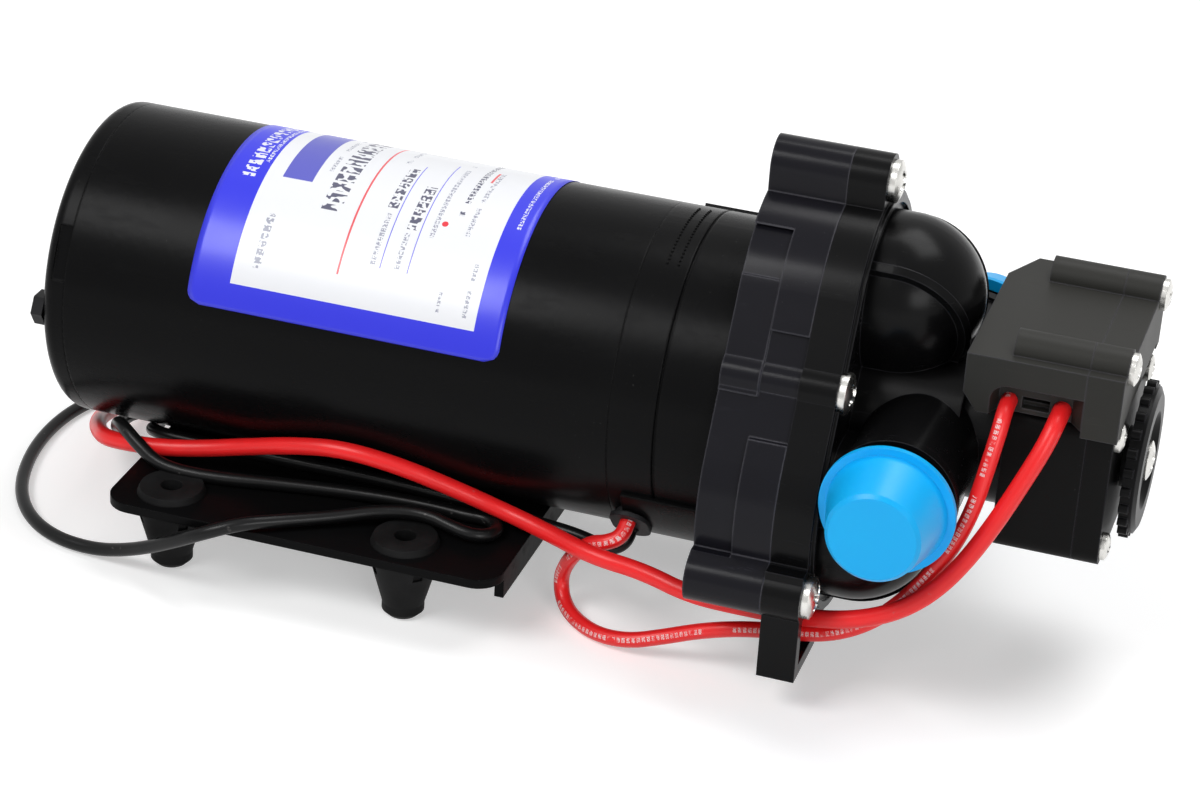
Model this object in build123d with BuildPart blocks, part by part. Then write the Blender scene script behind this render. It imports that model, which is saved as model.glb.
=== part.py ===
from build123d import *
import math
import os

os.makedirs("parts", exist_ok=True)

# Frame
# X runs along the motor towards the pump head, Y across, Z up from the floor under the feet.
# The origin is the middle of the four mounting holes. All lengths are in millimetres.

# Clearances
fit = 0.05
running_fit = 0.05
body_gap = 0.3
cut_over = 1.0

# Motor
axis_height = 49.6
motor_radius = 35.0
tube_wall = 2.0
rear_overhang = 60.75
bell_depth = 5.5
bell_edge = 3.0
bell_skin = 2.0
tube_length = 123.45
spigot_length = 3.0
spigot_wall = 1.6
bore_radius = motor_radius - tube_wall
spigot_radius = bore_radius - fit
motor_rear = -rear_overhang
tube_start = motor_rear + bell_depth
tube_end = tube_start + tube_length
notch_width = 12.0
notch_length = 3.0
notch_depth = 0.8
notch_angle = 155.0

# Bearings and shaft
shaft_radius = 4.0
bearing_radius = 11.0
bearing_width = 7.0
bearing_cup_wall = 2.0
shield_step = 0.4
shield_inner = 6.0
shield_outer = 9.5
rear_bearing_start = motor_rear + bell_skin
shaft_end_gap = 0.6

# Armature
core_radius = 27.5
core_length = 68.0
core_start = -33.5
slot_count = 12
slot_width = 5.0
slot_depth = 9.0
slot_bottom_radius = core_radius - slot_depth
winding_length = 8.0
winding_radius = 25.5
winding_inner = 9.0
winding_round = 3.0
commutator_radius = 12.0
commutator_length = 8.0
commutator_slit = 0.8
commutator_slit_depth = 1.2
commutator_start = core_start - winding_length - commutator_length - cut_over

# Magnets and brush gear
magnet_inner = 28.3
magnet_length = 62.0
magnet_start = core_start + slot_width
magnet_arc = 116.0
brush_plate_thickness = 2.5
brush_plate_inner = 14.0
brush_width = 6.0
brush_height = 5.0
brush_length = 9.0
brush_box_wall = 1.5
brush_box_length = 14.0
brush_spring_radius = 2.2
bolt_circle = 30.2
bolt_radius = 2.0
bolt_head_radius = 3.8
bolt_head_height = 2.6
bolt_engagement = 6.0

# Front cover of the motor
cover_length = 22.5
cover_wall = 3.0
cover_web = 3.0
cover_end = tube_end + cover_length
front_bearing_start = tube_end - bearing_width
seam_groove = 0.6
seam_depth = 0.5
second_seam = 9.8
pad_height = 1.0
pad_margin = 3.0
pad_from = 193.0
pad_arc = 44.0
lead_hole_inset = 4.2
lead_hole_station = tube_end + lead_hole_inset
lead_hole_angle = 222.5
lead_hole_spread = 4.1
grommet_width = 6.4
grommet_length = 10.6
grommet_flange = 1.0
grommet_lip = 1.0

# Drive
cam_tilt = 3.0
cam_radius = 8.5
cam_length = 9.0
cam_flange_radius = 15.0
cam_flange_thickness = 3.0
cam_inset = 4.0
cam_station = tube_end + cam_inset
shaft_nose = 2.0
cam_bearing_bore = 9.3
cam_bearing_radius = 15.0
cam_bearing_width = 7.0
wobble_radius = 19.0
wobble_thickness = 7.0
wobble_arm_radius = 6.5

# Pump head outline
chambers = 3
top_angle = 90.0
chamber_pitch = 21.0
lobe_radius = 27.0
chamber_radius = 16.5
top_screw_radius = 52.0
low_screw_radius = 50.0
low_screw_turn = 116.8
mid_screw_radius = 33.5
screw_boss_radius = 5.6
mid_boss_radius = 5.2
boss_root = 12.0
wall_step = 1.0
wall_pocket = 1.0

# Pump head depths
lower_depth = 16.6
flange_thickness = 8.0
seam_station = cover_end + lower_depth
face_station = seam_station + flange_thickness
rim_width = 1.5
rim_height = 0.8
drive_pocket_radius = 29.0
drive_pocket_depth = 8.0

# Legs of the upper housing
leg_outer = 48.3
leg_inner = 31.3
leg_top = -16.5
leg_bottom = -41.3
leg_wall = 2.8
leg_window_height = 10.4

# Diaphragm, pistons and valves
diaphragm_thickness = 1.8
diaphragm_margin = 8.0
convolution_radius = 1.4
convolution_depth = 1.2
groove_radius = 0.8
convolution_circle = 14.2
piston_radius = 11.5
piston_thickness = 4.5
piston_stem_radius = 5.5
piston_screw_head = 3.6
piston_screw_head_height = 1.8
piston_screw_radius = 1.6
valve_plate_thickness = 5.0
valve_dish_radius = 14.5
valve_dish_depth = 3.2
valve_port_radius = 2.0
valve_port_circle = 9.0
valve_ports = 4
valve_disc_radius = 12.0
valve_disc_thickness = 0.8
valve_stem_radius = 1.5
outlet_port_circle = 7.9
outlet_port_radius = 1.0
outlet_disc_radius = 9.6
seal_thickness = 1.2
seal_width = 2.2

# Domes and ports
dome_radius = 17.2
dome_pitch = 27.2
dome_base = 4.9
dome_wall = 2.8
rib_turn = 20.0
rib_thickness = 1.6
rib_height = 1.3
hub_radius = 19.0
hub_reach = 22.2
neck_radius = 15.0
neck_length = 10.2
port_inset = 14.4
port_station = face_station + port_inset
port_neck_radius = 12.5
port_neck_end = 38.0
port_collar_radius = 13.2
port_collar_width = 2.5
thread_radius = 10.4
thread_reach = 9.4
thread_chamfer = 0.8
port_bore = 6.5
port_bore_floor = 12.0
discharge_radius = 10.4
neck_end = face_station + hub_reach + neck_length

# Port caps
cap_rim_radius = 14.1
cap_rim_thickness = 1.2
cap_mouth_radius = 12.5
cap_end_radius = 9.8
cap_length = 13.5
cap_wall = 0.85
cap_rim_reach = 42.0
cap_end_round = 0.8

# Inside of the upper housing
gallery_wall = 2.4
gallery_outer = 17.0
gallery_depth = 3.6
port_plug_radius = 9.0
port_plug_length = 8.0
rim_inset = 1.2
sense_offset = 10.6

# Check valve
check_seat_inset = 6.3
check_seat_station = face_station + check_seat_inset
check_seat_thickness = 2.0
check_guide_gap = 10.0
check_guide_station = check_seat_station + check_guide_gap
check_roof_gap = 5.4
check_roof_station = check_guide_station + check_roof_gap
check_guide_radius = 3.6
check_chamber_radius = 9.0
poppet_radius = 5.6
poppet_thickness = 2.0
poppet_stem_radius = 2.0
poppet_stem_length = 9.6
check_seat_radius = 4.0
check_spring_radius = 3.0
check_spring_wire = 0.7
check_spring_turns = 4
check_lift = 2.5

# Housing screws
screw_head_radius = 4.5
screw_head_height = 2.6
screw_head_round = 1.4
screw_radius = 2.3
screw_hole = 2.5
screw_reach = 21.0
screw_boss_floor = 3.0

# Switch base and end cover
base_half_width = 21.0
base_half_height = 16.5
base_length = 16.8
base_corner = 4.0
base_start = neck_end
base_end = base_start + base_length
end_cover_thickness = 5.5
end_cover_end = base_end + end_cover_thickness
sense_bore = 1.2
switch_floor = 2.0
plunger_radius = 3.5
plunger_flange = 8.0
plunger_flange_thickness = 2.0
plunger_nose = 4.0
plunger_travel = 0.8
plunger_arm_width = 4.0
switch_disc_radius = 13.5
switch_disc_thickness = 1.6
switch_spring_radius = 6.0
switch_spring_wire = 1.0
switch_spring_turns = 4
end_screw_y = 17.0
end_screw_z = 12.6
end_screw_head = 2.9
end_screw_head_height = 1.8
end_screw_radius = 1.4
end_screw_reach = 12.0
end_screw_round = 0.8

# Adjuster
adjuster_radius = 16.7
adjuster_thickness = 5.5
adjuster_hub_radius = 6.5
end_cover_pocket = 2.4
adjuster_bead = 1.1
adjuster_beads = 24
adjuster_recess_radius = 10.5
adjuster_recess = 1.4
adjuster_screw_head = 4.2
adjuster_screw_height = 2.2
adjuster_screw_radius = 2.0
adjuster_button_radius = 5.0
adjuster_button_thickness = 1.6

# Switch box
box_overhang = 8.7
box_start = neck_end - box_overhang
box_half_width = 25.0
box_bottom = axis_height + base_half_height
box_height = 12.7
box_top = box_bottom + box_height
box_wall = 2.0
box_depth = 24.5
box_seam = box_start + box_depth
box_lid_depth = 7.5
box_end = box_seam + box_lid_depth
box_corner_x = 4.7
box_corner_y = 10.0
box_low_corner_x = 4.0
box_low_corner_z = 3.0
ridge_radius = 4.0
ridge_inset = 6.5
ridge_offset = box_half_width - ridge_inset
ridge_setback = 8.8
ridge_start = box_start + ridge_setback
recess_depth = 3.2
recess_setback = 5.6
recess_start = box_start + recess_setback
recess_height = 6.8
recess_corner = 3.5
recess_slant = 2.6
link_hole_setback = 9.1
link_hole_station = box_start + link_hole_setback
supply_hole_setback = 19.9
supply_hole_station = box_start + supply_hole_setback
lead_hole_lift = 2.4
lead_hole_height = box_bottom + lead_hole_lift
slot_window_width = 5.6
slot_window_height = 2.6
box_screw_head = 3.4
box_screw_head_height = 2.0
box_screw_radius = 1.5
box_screw_reach = 14.0
box_lip_drop = 1.4

# Microswitch
micro_length = 19.8
micro_width = 6.4
micro_height = 8.4
micro_corner = 0.8
micro_button = 1.6
micro_button_height = 0.8
lever_thickness = 0.5
lever_width = 4.0

# Base plate and feet
plate_top = 17.28
plate_thickness = 2.0
plate_half_width = 50.3
plate_rear = -39.35
plate_front = 50.56
plate_corner = 6.0
plate_lip = 6.4
plate_hole = 5.2
foot_pitch_x = 54.0
foot_pitch_y = 81.6
foot_hole = 2.4
foot_toe_radius = 4.6
foot_shoulder_radius = 8.0
foot_flange_radius = 7.5
foot_flange_height = 1.5
foot_toe_round = 1.2
foot_straight = 3.0
foot_notch_width = 2.2
foot_notch_height = 3.2
foot_notch_depth = 1.8
foot_notch_drop = 1.0
foot_notches = 4

# Leads
red_radius = 1.9
link_radius = 1.7
black_radius = 1.5
conductor_radius = 0.9
bare_length = 8.0
lead_run_share = 0.45
lead_inset = 2.0


def across(station):
    """Plane square to the pump axis: its X is the width, its Y the height above the axis."""
    return Plane(origin=(station, 0, axis_height), x_dir=(0, 1, 0), z_dir=(1, 0, 0))


axis_section = Plane(origin=(0, 0, axis_height), x_dir=(1, 0, 0), z_dir=(0, -1, 0))
pump_axis = Axis((0, 0, axis_height), (1, 0, 0))


def turned(*points):
    """Half section of a turned piece: each point is a station on the pump axis and a radius."""
    with BuildSketch(axis_section) as section:
        with BuildLine():
            Polyline(*points, close=True)
        make_face()
    return section.sketch


def on_barrel(station, angle, radius):
    """Plane lying on a barrel round the pump axis, facing outwards."""
    turn = math.radians(angle)
    outward = (0, math.cos(turn), math.sin(turn))
    centre = (station, radius * math.cos(turn), axis_height + radius * math.sin(turn))
    return Plane(origin=centre, x_dir=(1, 0, 0), z_dir=outward)


def polar(radius, angle):
    turn = math.radians(angle)
    return (radius * math.cos(turn), radius * math.sin(turn))


def keep(built, name):
    built.part.label = name
    export_step(built.part, f"parts/{name}.step")


chamber_angles = [top_angle + index * 360 / chambers for index in range(chambers)]
mid_angles = [angle + 180 / chambers for angle in chamber_angles]
low_angles = [top_angle + low_screw_turn, top_angle - low_screw_turn]
top_screw = polar(top_screw_radius, top_angle)
low_screws = [polar(low_screw_radius, angle) for angle in low_angles]
mid_screws = [polar(mid_screw_radius, angle) for angle in mid_angles]
all_screws = [top_screw] + low_screws + mid_screws


def rounded_triangle(station, inset):
    """Outline of the pump head: a circle round each chamber, joined by straight sides."""
    radius = lobe_radius - inset
    corners = []
    for angle in chamber_angles:
        centre = polar(chamber_pitch, angle)
        for side in (-180 / chambers, 180 / chambers):
            offset_y, offset_z = polar(radius, angle + side)
            corners.append((centre[0] + offset_y, centre[1] + offset_z))
    with BuildSketch(across(station)) as outline:
        Polygon(*corners)
        with PolarLocations(chamber_pitch, chambers, start_angle=top_angle):
            Circle(radius)
    return outline.sketch


def head_outline(station, inset):
    """Head outline with its three corner lobes and three bosses for the screws."""
    with BuildSketch(across(station)) as outline:
        add(across(station).to_local_coords(rounded_triangle(station, inset)))
        for place in [top_screw] + low_screws:
            reach = math.hypot(*place)
            inner = (place[0] * (reach - boss_root) / reach, place[1] * (reach - boss_root) / reach)
            middle = ((place[0] + inner[0]) / 2, (place[1] + inner[1]) / 2)
            SlotCenterPoint(middle, place, 2 * (screw_boss_radius - inset))
        with Locations(*mid_screws):
            Circle(mid_boss_radius - inset)
    return outline.sketch


# Motor tube
with BuildPart() as motor_tube:
    with BuildSketch(across(tube_start)):
        Circle(motor_radius)
        Circle(bore_radius, mode=Mode.SUBTRACT)
    extrude(amount=tube_length)
keep(motor_tube, "motor_tube")

# Rear end bell: a drawn cup with a rounded edge, a spigot in the tube and a cup for the bearing
bell_inner = spigot_radius - spigot_wall
bearing_seat = bearing_radius + fit
bearing_cup = bearing_seat + bearing_cup_wall
rear_bearing_end = rear_bearing_start + bearing_width
with BuildPart() as rear_bell:
    with BuildSketch(axis_section):
        with BuildLine():
            Line((motor_rear, 0), (motor_rear, motor_radius - bell_edge))
            RadiusArc((motor_rear, motor_radius - bell_edge), (motor_rear + bell_edge, motor_radius), bell_edge)
            Polyline(
                (motor_rear + bell_edge, motor_radius),
                (tube_start, motor_radius),
                (tube_start, spigot_radius),
                (tube_start + spigot_length, spigot_radius),
                (tube_start + spigot_length, bell_inner),
                (rear_bearing_start, bell_inner),
                (rear_bearing_start, bearing_cup),
                (rear_bearing_end, bearing_cup),
                (rear_bearing_end, bearing_seat),
                (rear_bearing_start, bearing_seat),
                (rear_bearing_start, 0),
                (motor_rear, 0),
            )
        make_face()
    revolve(axis=pump_axis)
    with BuildSketch(across(motor_rear)):
        with PolarLocations(bolt_circle, 2):
            Circle(bolt_radius + running_fit)
    extrude(amount=bell_depth + spigot_length, mode=Mode.SUBTRACT)
    with BuildSketch(on_barrel(tube_start - notch_length / 2, notch_angle, motor_radius + cut_over)):
        Rectangle(notch_length, notch_width)
    extrude(amount=-(cut_over + notch_depth), mode=Mode.SUBTRACT)
keep(rear_bell, "rear_bell")


def ball_bearing(start):
    """Shielded ball bearing, its shields set a little below the ring faces."""
    with BuildPart() as bearing:
        with BuildSketch(across(start)):
            Circle(bearing_radius)
            Circle(shaft_radius + running_fit, mode=Mode.SUBTRACT)
        extrude(amount=bearing_width)
        for face_at, depth in ((start, shield_step), (start + bearing_width, -shield_step)):
            with BuildSketch(across(face_at)):
                Circle(shield_outer)
                Circle(shield_inner, mode=Mode.SUBTRACT)
            extrude(amount=depth, mode=Mode.SUBTRACT)
    return bearing


rear_bearing = ball_bearing(rear_bearing_start)
keep(rear_bearing, "rear_bearing")
front_bearing = ball_bearing(front_bearing_start)
keep(front_bearing, "front_bearing")

# Through bolts that hold both end covers on the tube
bolt_end = tube_end - bearing_width - cover_web + bolt_engagement
with BuildPart() as through_bolts:
    with BuildSketch(across(motor_rear)):
        with PolarLocations(bolt_circle, 2):
            Circle(bolt_radius)
    extrude(amount=bolt_end - motor_rear)
    with BuildSketch(across(motor_rear)):
        with PolarLocations(bolt_circle, 2):
            RegularPolygon(bolt_head_radius, 6)
    extrude(amount=-bolt_head_height)
keep(through_bolts, "through_bolts")

# Front cover of the motor: a cup round the drive, with the front bearing in its web
web_start = tube_end - cover_web
cover_bore = motor_radius - cover_wall
with BuildPart() as front_cover:
    revolve(
        turned(
            (front_bearing_start, bearing_seat),
            (front_bearing_start, bearing_cup),
            (web_start, bearing_cup),
            (web_start, spigot_radius),
            (tube_end, spigot_radius),
            (tube_end, motor_radius),
            (tube_end + second_seam, motor_radius),
            (tube_end + second_seam, motor_radius - seam_depth),
            (tube_end + second_seam + seam_groove, motor_radius - seam_depth),
            (tube_end + second_seam + seam_groove, motor_radius),
            (cover_end, motor_radius),
            (cover_end, cover_bore),
            (tube_end, cover_bore),
            (tube_end, bearing_seat),
        ),
        axis=pump_axis,
    )
    with BuildSketch(across(web_start - bolt_engagement)):
        with PolarLocations(bolt_circle, 2):
            Circle(bolt_radius + running_fit)
    extrude(amount=bolt_engagement + cover_web, mode=Mode.SUBTRACT)
    pad_turn = math.radians(pad_from)
    pad_plane = Plane(
        origin=(0, 0, axis_height),
        x_dir=(1, 0, 0),
        z_dir=(0, math.sin(pad_turn), -math.cos(pad_turn)),
    )
    with BuildSketch(pad_plane):
        with Locations((tube_end + pad_margin, motor_radius - pad_height)):
            Rectangle(cover_length - 2 * pad_margin, 2 * pad_height, align=(Align.MIN, Align.MIN))
    revolve(axis=pump_axis, revolution_arc=pad_arc)
    with BuildSketch(on_barrel(lead_hole_station, lead_hole_angle, motor_radius + 2 * pad_height)):
        SlotOverall(grommet_length, grommet_width, rotation=90)
    extrude(amount=-(cover_wall + 3 * pad_height), mode=Mode.SUBTRACT)
keep(front_cover, "front_cover")

# Rubber grommet in the lead hole, with a bore for each of its two leads
lead_turn = math.degrees(lead_hole_spread / 2 / motor_radius)
link_exit_angle = lead_hole_angle - lead_turn
black_exit_angle = lead_hole_angle + lead_turn
grommet_seat = motor_radius + pad_height
with BuildPart() as wire_grommet:
    with BuildSketch(on_barrel(lead_hole_station, lead_hole_angle, grommet_seat + grommet_flange)):
        SlotOverall(grommet_length + 2 * grommet_lip, grommet_width + 2 * grommet_lip, rotation=90)
    extrude(amount=-grommet_flange)
    with BuildSketch(on_barrel(lead_hole_station, lead_hole_angle, grommet_seat)):
        SlotOverall(grommet_length - 2 * fit, grommet_width - 2 * fit, rotation=90)
    extrude(amount=-(cover_wall + pad_height))
    for angle, radius in ((link_exit_angle, link_radius), (black_exit_angle, black_radius)):
        with BuildSketch(on_barrel(lead_hole_station, angle, motor_radius + cover_wall)):
            Circle(radius + running_fit)
        extrude(amount=-3 * cover_wall, mode=Mode.SUBTRACT)
keep(wire_grommet, "wire_grommet")

# Magnets: two arcs bonded inside the tube, above and below the armature
magnet_outer = bore_radius - fit
with BuildPart() as magnets:
    for middle in (90, 270):
        start_turn = math.radians(middle - magnet_arc / 2)
        arc_plane = Plane(
            origin=(0, 0, axis_height),
            x_dir=(1, 0, 0),
            z_dir=(0, math.sin(start_turn), -math.cos(start_turn)),
        )
        with BuildSketch(arc_plane) as magnet_section:
            with Locations((magnet_start, magnet_inner)):
                Rectangle(magnet_length, magnet_outer - magnet_inner, align=(Align.MIN, Align.MIN))
        revolve(magnet_section.sketch, axis=pump_axis, revolution_arc=magnet_arc)
keep(magnets, "magnets")

# Rotor shaft
shaft_start = rear_bearing_start + shaft_end_gap
shaft_end = cam_station + cam_flange_thickness + cam_length + shaft_nose
with BuildPart() as rotor_shaft:
    with BuildSketch(across(shaft_start)):
        Circle(shaft_radius)
    extrude(amount=shaft_end - shaft_start)
    chamfer(rotor_shaft.edges().filter_by(GeomType.CIRCLE), shaft_end_gap)
keep(rotor_shaft, "rotor_shaft")

# Armature core: a stack of laminations with a slot for each coil
with BuildPart() as armature_core:
    with BuildSketch(across(core_start)):
        Circle(core_radius)
        with PolarLocations(core_radius, slot_count):
            Rectangle(2 * slot_depth, slot_width, mode=Mode.SUBTRACT)
        Circle(shaft_radius + fit, mode=Mode.SUBTRACT)
    extrude(amount=core_length)
keep(armature_core, "armature_core")

# Armature windings: a bar of wire in each slot and a rounded end turn at each end of the core
bar_width = slot_width - 4 * fit
bar_depth = slot_depth - 2 * fit - winding_round
with BuildPart() as armature_windings:
    for start in (core_start - winding_length, core_start + core_length):
        with BuildSketch(axis_section) as end_turn:
            with Locations((start, winding_inner)):
                RectangleRounded(
                    winding_length, winding_radius - winding_inner, winding_round, align=(Align.MIN, Align.MIN)
                )
        revolve(end_turn.sketch, axis=pump_axis)
    with BuildSketch(across(core_start - winding_round)) as slot_bars:
        with PolarLocations(slot_bottom_radius + 2 * fit, slot_count):
            Rectangle(bar_depth, bar_width, align=(Align.MIN, Align.CENTER))
    extrude(slot_bars.sketch, amount=core_length + 2 * winding_round)
keep(armature_windings, "armature_windings")

# Commutator with a slit between its segments
with BuildPart() as commutator:
    with BuildSketch(across(commutator_start)):
        Circle(commutator_radius)
        with PolarLocations(commutator_radius, slot_count):
            Rectangle(2 * commutator_slit_depth, commutator_slit, mode=Mode.SUBTRACT)
        Circle(shaft_radius + fit, mode=Mode.SUBTRACT)
    extrude(amount=commutator_length)
keep(commutator, "commutator")

# Brush holder: a plate across the tube with two boxes that guide the brushes
brush_station = commutator_start + commutator_length / 2
plate_station = brush_station - brush_width / 2 - brush_box_wall - brush_plate_thickness
box_outer = brush_width + 2 * brush_box_wall
with BuildPart() as brush_holder:
    with BuildSketch(across(plate_station)):
        Circle(spigot_radius - spigot_wall)
        Circle(brush_plate_inner, mode=Mode.SUBTRACT)
        with PolarLocations(bolt_circle, 2):
            Circle(bolt_radius + body_gap, mode=Mode.SUBTRACT)
    extrude(amount=brush_plate_thickness)
    with BuildSketch(across(plate_station + brush_plate_thickness)):
        for side in (1, -1):
            with Locations((0, side * (brush_plate_inner + brush_box_length / 2))):
                Rectangle(brush_height + 2 * brush_box_wall, brush_box_length)
    extrude(amount=box_outer - brush_box_wall)
    with BuildSketch(across(plate_station + brush_plate_thickness + brush_box_wall)):
        for side in (1, -1):
            with Locations((0, side * (brush_plate_inner + brush_box_length / 2 - brush_box_wall))):
                Rectangle(brush_height + 2 * fit, brush_box_length)
    extrude(amount=box_outer, mode=Mode.SUBTRACT)
keep(brush_holder, "brush_holder")

# Brushes, resting on the commutator
brush_foot = commutator_radius + running_fit
with BuildPart() as brushes:
    with BuildSketch(across(brush_station - brush_width / 2)):
        for side in (1, -1):
            with Locations((0, side * (brush_foot + brush_length / 2))):
                Rectangle(brush_height, brush_length)
    extrude(amount=brush_width)
keep(brushes, "brushes")

# Brush springs, one behind each brush
brush_spring_seat = brush_plate_inner + brush_box_length - brush_box_wall
brush_spring_length = brush_spring_seat - brush_foot - brush_length
with BuildPart() as brush_springs:
    for side in (1, -1):
        spring_seat = Plane(
            origin=(brush_station, 0, axis_height + side * (brush_foot + brush_length)), z_dir=(0, 0, side)
        )
        with BuildSketch(spring_seat):
            Circle(brush_spring_radius)
            Circle(brush_spring_radius - brush_box_wall / 2, mode=Mode.SUBTRACT)
        extrude(amount=brush_spring_length)
keep(brush_springs, "brush_springs")

# Drive cam: a tilted hub with a round counterweight, fixed on the shaft
cam_middle = cam_station + cam_flange_thickness + cam_length / 2
tilt = math.radians(cam_tilt)
tilted = (math.cos(tilt), 0, math.sin(tilt))


def tilted_plane(offset):
    """Plane square to the tilted hub of the cam, offset along it from its middle."""
    centre = (cam_middle + offset * tilted[0], 0, axis_height + offset * tilted[2])
    return Plane(origin=centre, x_dir=(0, 1, 0), z_dir=tilted)


with BuildPart() as drive_cam:
    with BuildSketch(across(cam_station)):
        Circle(cam_flange_radius)
    extrude(amount=cam_flange_thickness)
    with BuildSketch(tilted_plane(-cam_length / 2 - cut_over)):
        Circle(cam_radius)
    extrude(amount=cam_length + cut_over)
    with BuildSketch(across(cam_station - cut_over)):
        Circle(shaft_radius + fit)
    extrude(amount=cam_length + cam_flange_thickness + 3 * cut_over, mode=Mode.SUBTRACT)
keep(drive_cam, "drive_cam")

# Cam bearing, which turns the cam's wobble into the rocking of the wobble plate
with BuildPart() as cam_bearing:
    with BuildSketch(tilted_plane(-cam_bearing_width / 2 + cut_over)):
        Circle(cam_bearing_radius)
        Circle(cam_bearing_bore, mode=Mode.SUBTRACT)
    extrude(amount=cam_bearing_width)
keep(cam_bearing, "cam_bearing")

# Wobble plate with an arm to each piston
diaphragm_back = seam_station - diaphragm_thickness
piston_back = diaphragm_back - piston_thickness
arm_start = cam_middle - wobble_thickness / 2 + cut_over
stem_start = cover_end + body_gap
with BuildPart() as wobble_plate:
    with BuildSketch(tilted_plane(-wobble_thickness / 2 + cut_over)):
        Circle(wobble_radius)
    extrude(amount=wobble_thickness)
    with BuildSketch(across(arm_start)):
        with PolarLocations(chamber_pitch, chambers, start_angle=top_angle):
            Circle(wobble_arm_radius)
    extrude(amount=stem_start - arm_start)
    with BuildSketch(tilted_plane(-wobble_thickness)):
        Circle(cam_bearing_radius + fit)
    extrude(amount=3 * wobble_thickness, mode=Mode.SUBTRACT)
keep(wobble_plate, "wobble_plate")

# Pistons, one behind each chamber of the diaphragm
with BuildPart() as pistons:
    with BuildSketch(across(stem_start)):
        with PolarLocations(chamber_pitch, chambers, start_angle=top_angle):
            Circle(piston_stem_radius)
    extrude(amount=piston_back - stem_start)
    with BuildSketch(across(piston_back)):
        with PolarLocations(chamber_pitch, chambers, start_angle=top_angle):
            Circle(piston_radius)
    extrude(amount=piston_thickness)
    with BuildSketch(across(diaphragm_back)):
        with PolarLocations(chamber_pitch, chambers, start_angle=top_angle):
            Circle(piston_screw_radius + fit)
    extrude(amount=-piston_thickness, mode=Mode.SUBTRACT)
keep(pistons, "pistons")

# Diaphragm: one rubber sheet with a convolution round each piston
with BuildPart() as diaphragm:
    extrude(rounded_triangle(diaphragm_back, diaphragm_margin), amount=diaphragm_thickness)
    with BuildSketch(across(diaphragm_back)):
        with PolarLocations(chamber_pitch, chambers, start_angle=top_angle):
            Circle(convolution_circle + convolution_radius)
            Circle(convolution_circle - convolution_radius, mode=Mode.SUBTRACT)
    extrude(amount=-convolution_depth)
    with BuildSketch(across(seam_station)):
        with PolarLocations(chamber_pitch, chambers, start_angle=top_angle):
            Circle(convolution_circle + groove_radius)
            Circle(convolution_circle - groove_radius, mode=Mode.SUBTRACT)
    extrude(amount=-convolution_depth, mode=Mode.SUBTRACT)
    with BuildSketch(across(diaphragm_back)):
        with PolarLocations(chamber_pitch, chambers, start_angle=top_angle):
            Circle(piston_screw_radius + fit)
    extrude(amount=diaphragm_thickness, mode=Mode.SUBTRACT)
keep(diaphragm, "diaphragm")

# Piston screws, which clamp the diaphragm to the pistons
with BuildPart() as piston_screws:
    with BuildSketch(across(seam_station)):
        with PolarLocations(chamber_pitch, chambers, start_angle=top_angle):
            Circle(piston_screw_radius)
    extrude(amount=-(diaphragm_thickness + piston_thickness - cut_over))
    with BuildSketch(across(seam_station)):
        with PolarLocations(chamber_pitch, chambers, start_angle=top_angle):
            Circle(piston_screw_head)
    extrude(amount=piston_screw_head_height)
keep(piston_screws, "piston_screws")

# Lower housing: the drive side of the pump head, with the moulded steps of its outer wall
def outline_band(station, inset, high_share, low_share):
    """Slice of the head outline between two heights, given as shares of the corner radius."""
    high = lobe_radius * high_share
    low = lobe_radius * low_share
    with BuildSketch(across(station)) as band:
        add(across(station).to_local_coords(head_outline(station, inset)))
        with Locations((0, (high + low) / 2)):
            Rectangle(8 * lobe_radius, high - low, mode=Mode.INTERSECT)
    return band.sketch


lobe_band_shares = ((2.3, 1.62), (-0.62, -1.6))
seam_band_shares = ((1.62, 1.0), (0.28, -0.62))
drive_band_shares = ((1.32, 0.55),)
pocket_band_shares = ((-0.05, -0.5),)
step_share = 0.5
half_depth = lower_depth * step_share
with BuildPart() as lower_housing:
    extrude(head_outline(cover_end, wall_step), amount=lower_depth)
    for high_share, low_share in lobe_band_shares:
        extrude(outline_band(cover_end, 0, high_share, low_share), amount=lower_depth)
    for high_share, low_share in seam_band_shares:
        extrude(outline_band(cover_end + half_depth, 0, high_share, low_share), amount=lower_depth - half_depth)
    for high_share, low_share in drive_band_shares:
        extrude(outline_band(cover_end, wall_step / 2, high_share, low_share), amount=half_depth)
    with BuildSketch(across(cover_end)):
        Circle(drive_pocket_radius)
    extrude(amount=drive_pocket_depth, mode=Mode.SUBTRACT)
    with BuildSketch(across(cover_end)):
        with PolarLocations(chamber_pitch, chambers, start_angle=top_angle):
            Circle(chamber_radius)
    extrude(amount=lower_depth, mode=Mode.SUBTRACT)
    extrude(rounded_triangle(diaphragm_back, diaphragm_margin - fit), amount=diaphragm_thickness, mode=Mode.SUBTRACT)
    with BuildSketch(across(cover_end + screw_boss_floor)):
        with Locations(*all_screws):
            Circle(screw_hole)
    extrude(amount=lower_depth, mode=Mode.SUBTRACT)
keep(lower_housing, "lower_housing")

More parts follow.
